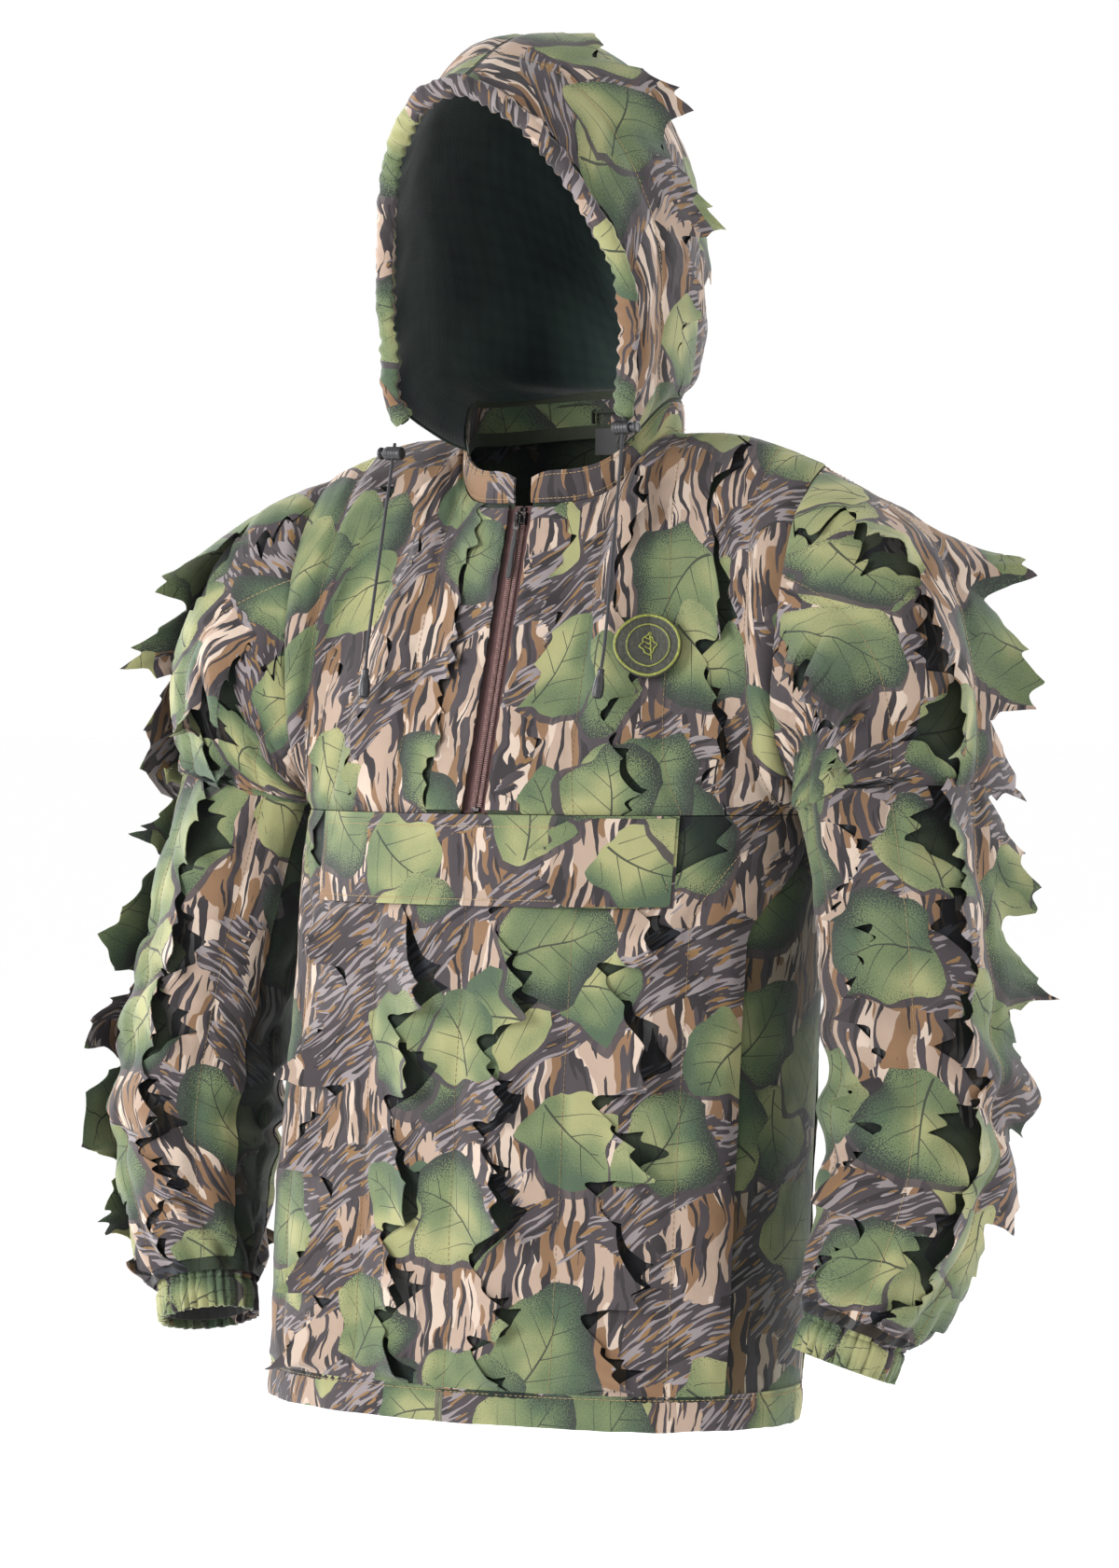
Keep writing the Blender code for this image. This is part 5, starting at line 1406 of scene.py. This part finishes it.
def build_casing():
    count, sides = 300, 22
    share = np.linspace(-1, 1, count)
    centre = face_line(share)
    tangent = unit(np.gradient(centre, axis=0))
    inside = HOOD_CENTRE + np.array((0, 0.03, 0)) - centre
    across = unit(inside - tangent * np.sum(inside * tangent, axis=1, keepdims=True))
    out = np.cross(tangent, across)
    lay = math.radians(38)
    wide = across * math.cos(lay) - out * math.sin(lay)
    tall = across * math.sin(lay) + out * math.cos(lay)
    angle = np.arange(sides) * 2 * math.pi / sides
    length = run_along(centre)
    crush = fractal(length * 70, length * 0 + 3, 61)[:, None]
    crumple = fractal(length[:, None] * 150, angle[None] * 1.1, 62)
    gather = np.sin(length * 560 + 3 * fractal(length * 30, length * 0, 63))[:, None]
    swell = 1 + 0.16 * crush + 0.24 * crumple + 0.15 * gather * (0.6 + 0.4 * np.cos(angle))[None]
    a = 0.0084 * np.cos(angle)[None] * swell
    b = 0.0056 * np.sin(angle)[None] * swell
    sway = 0.0024 * fractal(length * 45, length * 0 + 9, 64)[:, None]
    points = centre[:, None] + wide[:, None] * (a + sway)[..., None] + tall[:, None] * (b + 0.7 * sway)[...,
                                                                                                        None]
    layout_s = (angle * 0.0065)[None] * np.ones((count, 1))
    layout_t = length[:, None] * np.ones((1, sides))
    made = mesh_object("hood_casing_cloth", points.reshape(-1, 3), tube_faces(count, sides), FINISH["camo"],
                       pattern_grid(layout_s, layout_t, 11).reshape(-1, 3), slot="printed_cloth")
    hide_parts("hood_casing")
    cord_line = face_line(np.linspace(-0.99, 0.99, 160))
    verts, quads = tube_mesh(cord_line, CORD_RADIUS, 8)
    cord = mesh_object("casing_drawcord", verts, quads, FINISH["cord"], slot="cord")
    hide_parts("hood_drawcord")


def build_neck_seams():
    """Binding tape along both neck seams, on the inside, where the collar meets the body and the hood."""
    for name, shift, start in (("neck_seam_tape", 0.0, 0.06),
                               ("hood_seam_tape", COLLAR_HEIGHT + 0.0016, 0.56)):
        u = np.linspace(-2 + start, 2 - start, 150)
        key = 2 - np.abs(u)
        front = key < 1
        key = np.where(front, key, 2 - key)
        line = np.where(front[:, None], neckline(key, True), neckline(key, False))
        inward = unit((np.array((0, NECK_Y, 0)) - line) * np.array((1, 1, 0)))
        line[:, 0] *= np.where(u < 0, -1, 1)
        inward[:, 0] *= np.where(u < 0, -1, 1)
        rise = np.linspace(-0.0055, 0.0055, 7)
        bow = 0.0032 - 0.0004 * (rise / 0.0055) ** 2
        points = line[None] + inward[None] * bow[:, None, None] + np.array((0, 0, shift))
        points = points + rise[:, None, None] * np.array((0, 0, 1))
        sign = -1.0 if np.mean(np.sum(grid_normals(points) * inward[None], axis=2)) < 0 else 1.0
        sheet_mesh(name, points, 0.0008, FINISH["loop"], None, sign, slot="zip_tape")


COLLAR_POINTS, COLLAR_NORMALS = build_collar()
build_neck_seams()
build_hood()
build_casing()


# ---------------------------------------------------------------- zip, pocket, badge and small pieces
def zip_frame():
    low, high = body(0.0, FLAP_V, True), body(0.0, 1.0, True)
    return place(low, high - low, (1, 0, 0)), float(np.linalg.norm(high - low))


def box_mesh(low, high):
    x, y, z = zip(low, high)
    points = [(x[i], y[j], z[k]) for i in (0, 1) for j in (0, 1) for k in (0, 1)]
    faces = [(0, 1, 3, 2), (4, 6, 7, 5), (0, 4, 5, 1), (2, 3, 7, 6), (0, 2, 6, 4), (1, 5, 7, 3)]
    return np.array(points, float), faces


def build_zip():
    at, length = zip_frame()
    for name, side in SIDES.items():
        xs = side * np.linspace(TOOTH_TIP, TAPE_OUTER, 10)
        zs = np.linspace(0.002, length - 0.001, 120)
        ripple = 0.0003 * np.sin(zs * 420)[:, None] * np.linspace(0, 1, 10)[None]
        grid = np.stack([np.repeat(xs[None], 120, 0), TAPE_DEPTH + ripple, np.repeat(zs[:, None], 10, 1)],
                        axis=-1)
        world = moved(grid.reshape(-1, 3), at).reshape(grid.shape)
        tape = sheet_mesh(f"zip_tape_cloth_{name}", world, 0.0006, FINISH["tape"], None, side,
                          slot="zip_tape")
        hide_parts(f"zip_tape_{name}")
        parts = []
        pitch = 0.00155
        count = int((length - 2 * ZIP_END_MARGIN) / pitch)
        for k in range(count):
            z = ZIP_END_MARGIN + pitch * (k + (0.5 if side > 0 else 0.0))
            front, depth = TAPE_DEPTH - 0.0026, TAPE_DEPTH - 0.0004
            loop = [
                (side * 0.0046, depth, z), (side * 0.0045, front + 0.0004, z + 0.0001),
                (side * 0.0034, front, z + 0.0002),
                (side * 0.0016, front + 0.0002, z + 0.0003), (side * 0.0008, (front + depth) / 2, z + 0.0004),
                (side * 0.0016, depth, z + 0.0005),
            ]
            verts, quads = tube_mesh(loop, 0.00052, 6)
            parts.append((moved(verts, at), quads))
        verts, quads = joined(parts)
        coil = mesh_object(f"zip_coil_{name}", verts, quads, FINISH["coil"], slot="zip_coil")
        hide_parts(f"zip_teeth_{name}")
    guard_x = np.linspace(-0.019, 0.019, 8)
    guard_z = np.linspace(0.002, length - 0.004, 60)
    grid = np.stack([np.repeat(guard_x[None], 60, 0), np.full((60, 8), TAPE_DEPTH + 0.0060),
                     np.repeat(guard_z[:, None], 8, 1)], axis=-1)
    world = moved(grid.reshape(-1, 3), at).reshape(grid.shape)
    guard = sheet_mesh("zip_guard_cloth", world, 0.0012, FINISH["camo"],
                       pattern_grid(np.repeat(guard_x[None], 60, 0), np.repeat(guard_z[:, None], 8, 1), 12),
                       1.0, slot="printed_cloth")
    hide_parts("zip_guard")
    for node in ("zip_slider", "pull_link", "zip_top_stop_left", "zip_top_stop_right", "zip_bottom_stop",
                 "eyelet_left", "eyelet_right"):
        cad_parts[node].material_slots[0].material = FINISH["metal"]


def build_pull():
    """The moulded tab: rounded, waisted and ribbed, on the pull's link."""
    at, length = zip_frame()
    slider_z = length - ZIP_END_MARGIN - SLIDER_LENGTH - 0.001
    depth = TAPE_DEPTH - 0.0004 - 0.0022 - 0.0005 - 0.0011 - 0.0013 - PULL_RAISED
    start = slider_z + SLIDER_LENGTH - 0.0040 - LINK_LENGTH - 0.0004
    rows, sides = 60, 24
    z = np.linspace(0, PULL_LENGTH, rows)
    share = z / PULL_LENGTH
    half = 0.0021 + 0.0003 * np.sin(share * math.pi * 3) - 0.0006 * np.exp(-(((share - 0.12) / 0.10) ** 2))
    half = half * np.sqrt(np.clip(1 - (2 * np.clip(share - 0.94, 0, 1) / 0.13) ** 2, 0.03, 1))
    half = half * np.sqrt(np.clip(1 - (2 * np.clip(0.05 - share, 0, 1) / 0.12) ** 2, 0.03, 1))
    thick = 0.00095 + 0.00018 * (np.sin(z * 2 * math.pi / 0.0022) > 0) * (share > 0.25) * (share < 0.85)
    angle = np.arange(sides) * 2 * math.pi / sides
    cos, sin = np.cos(angle), np.sin(angle)
    x = half[:, None] * (np.sign(cos) * np.abs(cos) ** 0.6)[None]
    y = depth + thick[:, None] * (np.sign(sin) * np.abs(sin) ** 0.6)[None]
    points = np.stack([x, y, (start - z)[:, None] * np.ones((1, sides))], axis=-1).reshape(-1, 3)
    faces = [face[::-1] for face in tube_faces(rows, sides)]
    tab = mesh_object("pull_grip", moved(points, at), faces, FINISH["rubber"], body_name="pull",
                      slot="pull_rubber")
    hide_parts("pull_tab")


def u_at(x, v):
    """u of the chest's point at this distance from the middle, for each v."""
    low, high = np.zeros_like(v), np.full_like(v, 0.6)
    for _ in range(24):
        middle = (low + high) / 2
        short = body(middle, v, True)[..., 0] < x
        low, high = np.where(short, middle, low), np.where(short, high, middle)
    return low


def build_plackets():
    rows, cols = 110, 14
    for name, side in SIDES.items():
        v = np.linspace(FLAP_V + 0.004, 0.994, rows)
        grids = []
        for share in np.linspace(0, 1, cols):
            x = mix(PLACKET_EDGE, PLACKET_OUTER, share)
            grids.append(body(u_at(x, v), v, True))
        points = np.stack(grids, axis=1) * np.array((side, 1, 1))
        share = np.linspace(0, 1, cols)
        s = side * mix(PLACKET_EDGE, PLACKET_OUTER, share)[None] * np.ones((rows, 1))
        t = (v * 0.77)[:, None] * np.ones((1, cols))
        normals = grid_normals(points) * side
        ridge = 0.0012 * np.exp(-(((share - 0.10) / 0.10) ** 2)) + 0.0007 * np.sin(math.pi * share)
        pinch = 0.0006 * np.sin(t * 300 + 2 * fractal(s * 50, t * 30, 71))
        points = points + normals * (0.0014 + ridge[None] + pinch * (0.4 + np.abs(share - 0.5))[None])[...,
                                                                                                       None]
        made = sheet_mesh(f"placket_cloth_{name}", points, 0.0013, FINISH["camo"], pattern_grid(s, t, 13),
                          side, slot="printed_cloth")
        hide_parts(f"placket_{name}")


def flap_point(x, v, proud):
    """A point of the flap's outer face: x across, v from 0 at the top seam to 1 at the free edge."""
    p = body_ring(side_u(np.abs(x)), FLAP_TOP_Z - v * FLAP_HEIGHT, True)
    wave = 0.0009 * fractal(x * 14, v * 3, 81) * v + 0.0004 * fractal(x * 60, v * 6, 82)
    rise = (0.0003 + wave + proud) * (1 - np.exp(-((x / 0.013) ** 4)))
    return xyz(x, p[..., 1] - mix(*FLAP_STAND_OFF, v) - rise, p[..., 2])


def build_flap_leaf():
    """The leaf-cut end of the flap: a second layer at the wearer's left whose cut edge lifts a little."""
    rows, cols = 60, 34
    v = np.linspace(0.985, 0.03, rows)
    tooth = (1 - np.abs(np.sin(math.pi * (v * FLAP_HEIGHT / 0.017 + 0.3)))) ** 0.8
    cut_x = 0.092 - 0.020 * np.sin(math.pi * v) - 0.011 * tooth
    share = np.linspace(0, 1, cols)
    x = mix(cut_x[:, None], FLAP_HALF_WIDTH - 0.0015, share[None])
    vv = np.repeat(v[:, None], cols, axis=1)
    free = np.maximum(0, 0.034 - (x - cut_x[:, None])) / 0.034
    proud = 0.0015 + 0.0050 * free**1.6 + 0.0004 * fractal(x * 50, vv * 6, 84)
    points = flap_point(x, vv, proud)
    leaf = sheet_mesh("flap_leaf_cloth", points, STRIP_THICK, FINISH["camo"],
                      pattern_grid(x, -vv * FLAP_HEIGHT, 16), 1.0,
                      body_name="flap", slot="leaf_cloth", sharp=60)


def build_pocket():
    rows, cols = 40, 120
    u, v = np.meshgrid(np.linspace(-1, 1, cols), np.linspace(1, 0, rows))
    x = u * FLAP_HALF_WIDTH
    border = np.minimum(np.minimum(1 - np.abs(u), 0.06) / 0.06, np.minimum(1 - v, 0.10) / 0.10)
    points = flap_point(x, v, 0.0007 * ease(border))
    flap = sheet_mesh("flap_cloth", points, 0.0012, FINISH["camo"], pattern_grid(x, -v * FLAP_HEIGHT, 14),
                      1.0,
                      body_name="flap", slot="printed_cloth")
    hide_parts("pocket_flap")
    build_flap_leaf()
    u, v = np.meshgrid(np.linspace(-1, 1, 60), np.linspace(1, 0, 40))
    x = u * POCKET_BAG_HALF_WIDTH
    z = FLAP_TOP_Z - 0.003 - v * POCKET_BAG_DEPTH
    gap = mix(POCKET_BAG_GAP, 0.0025, np.abs(u) ** 4) * mix(1.0, 0.3, v * v)
    p = body_ring(side_u(np.abs(x)), z, True)
    points = xyz(x, p[..., 1] + FABRIC + gap + 0.0012 * fractal(x * 30, z * 25, 83), z)
    bag = sheet_mesh("pocket_bag_mesh", points, 0.0008, FINISH["lining"], pattern_grid(x, z, 1), 1.0,
                     slot="lining")
    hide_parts("pocket_bag")


def on_chest(right, up, proud):
    """Points this far right of and above the badge's centre, measured straight, and proud of the chest."""
    u0, v0 = BADGE_PLACE
    step = 0.01
    centre = body(u0, v0)
    along_u = (body(u0 + step, v0) - body(u0 - step, v0)) / (2 * step)
    along_v = (body(u0, v0 + step) - body(u0, v0 - step)) / (2 * step)
    x_axis = unit(along_u)
    z_axis = unit(along_v - x_axis * np.dot(along_v, x_axis))
    u = u0 + right / np.linalg.norm(along_u)
    v = v0 + up / np.linalg.norm(along_v)
    for _ in range(8):
        offset = body(u, v) - centre
        u = u + (right - offset @ x_axis) / np.linalg.norm(along_u)
        v = v + (up - offset @ z_axis) / np.linalg.norm(along_v)
    d = 0.002
    normal = unit(np.cross(body(u + d, v) - body(u - d, v), body(u, v + d) - body(u, v - d)))
    return body(u, v) + normal * np.asarray(proud)[..., None], normal


def disc_on_chest(edge, rings, sides, height_of):
    """A disc that follows the chest round the badge's place, with its own relief."""
    angle = np.arange(sides) * 2 * math.pi / sides
    radius = edge * np.linspace(1.0, 0.0, rings + 1)[:-1, None] * np.ones((1, sides))
    return on_chest(radius * np.cos(angle), radius * np.sin(angle), height_of(radius, angle[None]))


def closed_disc(points, normal, thick):
    rings, sides = points.shape[:2]
    top_centre = points[-1].mean(axis=0)
    under = points[0] - normal[0] * thick
    low_centre = under.mean(axis=0)
    verts = np.concatenate([points.reshape(-1, 3), under, [top_centre], [low_centre]])
    base, centre, low = rings * sides, rings * sides + sides, rings * sides + sides + 1
    faces = ring_quads(rings, sides)
    last = (rings - 1) * sides
    for i in range(sides):
        m = (i + 1) % sides
        faces.append((last + i, last + m, centre))
        faces.append((base + i, base + m, m, i))
        faces.append((base + m, base + i, low))
    return verts, faces


def build_badge():
    """A round moulded badge with a raised rim, a beaded ring and one plain leaf. It bears no lettering."""
    def relief(radius, angle):
        share = radius / BADGE_RADIUS
        rim = 0.0010 * (np.exp(-(((share - 0.94) / 0.035) ** 2)) + np.exp(-(((share - 0.66) / 0.022) ** 2)))
        beads = 0.0005 * (np.abs(share - 0.80) < 0.05) * (np.sin(angle * 24) > 0.1)
        return BADGE_LIFT + BADGE_THICK - 0.0006 + rim + beads - 0.0007 * ease((share - 0.96) / 0.04)

    points, normal = disc_on_chest(BADGE_RADIUS, 26, 96, relief)
    verts, faces = closed_disc(points, normal, BADGE_THICK)
    plate = mesh_object("badge_plate", verts, faces, FINISH["badge_dark"], slot="badge_rubber")
    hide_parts("badge")
    face = BADGE_LIFT + BADGE_THICK
    turn = np.linspace(0, 2 * math.pi, 97)
    f = np.linspace(0, 1, 30)
    lines = [
        (0.94 * BADGE_RADIUS * np.cos(turn), 0.94 * BADGE_RADIUS * np.sin(turn), 0.0011),
        (0.66 * BADGE_RADIUS * np.cos(turn), 0.66 * BADGE_RADIUS * np.sin(turn), 0.0006),
    ]
    tip = -0.0085 + 0.0190 * f
    for side in (-1, 1):
        swell = np.sin(math.pi * f**0.8) * (0.0072 + 0.0011 * np.sin(6 * math.pi * f))
        lines.append((side * swell, tip, 0.0006))
        for low in (-0.0040, 0.0, 0.0040):
            lines.append((side * 0.0046 * f, low + 0.0030 * f, 0.0004))
    lines.append((0 * f, -0.0125 + 0.0200 * f, 0.0006))
    parts = []
    for right, up, wide in lines:
        path, _ = on_chest(right, up, np.full_like(right, face + 0.0001))
        parts.append(tube_mesh(path, wide, 8))
    verts, quads = joined(parts)
    mesh_object("badge_raised_lines", verts, quads, FINISH["badge"], slot="badge_rubber")


def build_loop_and_label():
    loop_y, loop_z, half, top = NECK_Y + NECK_BACK - 0.0085, 0.044, 0.022, 0.055
    wide = 0.0045
    path = np.array([
        (-half + 0.0009, loop_z), (-half + 0.0009, top - 0.0030), (-half + 0.0022, top - 0.0009),
        (-half + 0.0060, top - 0.0009),
        (half - 0.0060, top - 0.0009), (half - 0.0022, top - 0.0009), (half - 0.0009, top - 0.0030),
        (half - 0.0009, loop_z),
    ])
    fine = through(path, np.linspace(0, 1, 90))
    y = np.linspace(loop_y - wide / 2, loop_y + wide / 2, 5)
    grid = np.stack([
        np.repeat(fine[:, 0][:, None], 5, 1), np.repeat(y[None], 90, 0), np.repeat(fine[:, 1][:, None], 5, 1),
    ], axis=-1)
    loop = sheet_mesh("hanger_loop_tape", grid, 0.0012, FINISH["loop"], None, -1.0, slot="zip_tape")
    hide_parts("hanger_loop")
    x, z = np.meshgrid(np.linspace(-0.019, 0.019, 16), np.linspace(0.018, 0.040, 10))
    grid = xyz(x, loop_y + 0.0006 + 0.0003 * np.sin(x * 200), z)
    label = sheet_mesh("blank_size_label", grid, 0.0005, FINISH["label"], None, 1.0, slot="zip_tape")
    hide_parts("size_label")


build_zip()
build_pull()
build_plackets()
build_pocket()
build_badge()
build_loop_and_label()


# ---------------------------------------------------------------- stitching
def stitch_row(line, normals, pitch=0.0034, length=0.0024, wide=0.00055, sides=4):
    """Short raised stitches along a line, each a small bead that dips into the cloth at both ends."""
    line, normals = np.asarray(line), np.asarray(normals)
    run = run_along(line)
    starts = np.arange(0.001, run[-1] - length, pitch)
    parts = []
    for start in starts:
        at = start + np.array([0.0, 0.25, 0.75, 1.0]) * length
        points = np.stack([np.interp(at, run, line[:, k]) for k in range(3)], axis=-1)
        normal = unit(np.stack([np.interp(at, run, normals[:, k]) for k in range(3)], axis=-1))
        points = points + normal * (np.array([-0.2, 0.6, 0.6, -0.2]) * wide)[:, None]
        parts.append(tube_mesh(points, wide / 2, sides))
    return parts


def build_stitching():
    parts = []
    closed = np.concatenate([HEM_POINTS[7], HEM_POINTS[7][:1]])
    normals = np.concatenate([HEM_NORMALS[7], HEM_NORMALS[7][:1]])
    parts += stitch_row(closed + normals * 0.0004, normals, 0.0042, 0.0030)
    for row in (1, 7):
        parts += stitch_row(COLLAR_POINTS[row] + COLLAR_NORMALS[row] * 0.0002, COLLAR_NORMALS[row])
    verts, quads = joined(parts)
    mesh_object("edge_stitching", verts, quads, FINISH["thread"], slot="printed_cloth")
    parts = []
    for line, normals in SEAMS:
        parts += stitch_row(line + normals * 0.0002, normals, 0.0044, 0.0030, sides=3)
    verts, quads = joined(parts)
    mesh_object("strip_stitching", verts, quads, FINISH["thread"], slot="leaf_cloth")
    parts = []
    depth = lambda x, z, v: body_ring(side_u(np.abs(x)), z, True)[..., 1] - mix(*FLAP_STAND_OFF, v) - 0.0010
    x = np.linspace(-FLAP_HALF_WIDTH + 0.004, FLAP_HALF_WIDTH - 0.004, 200)
    for v in (0.13, 0.93):
        z = np.full_like(x, FLAP_TOP_Z - v * FLAP_HEIGHT)
        parts += stitch_row(xyz(x, depth(x, z, v), z), xyz(x * 0, x * 0 - 1, x * 0))
    for x_at in (-FLAP_HALF_WIDTH + 0.005, FLAP_HALF_WIDTH - 0.005, FLAP_HALF_WIDTH - 0.011):
        v = np.linspace(0.13, 0.93, 40)
        z = FLAP_TOP_Z - v * FLAP_HEIGHT
        parts += stitch_row(xyz(np.full_like(v, x_at), depth(np.full_like(v, x_at), z, v), z),
                            xyz(v * 0, v * 0 - 1, v * 0))
    verts, quads = joined(parts)
    mesh_object("flap_stitching", verts, quads, FINISH["thread"], body_name="flap", slot="printed_cloth")


build_stitching()
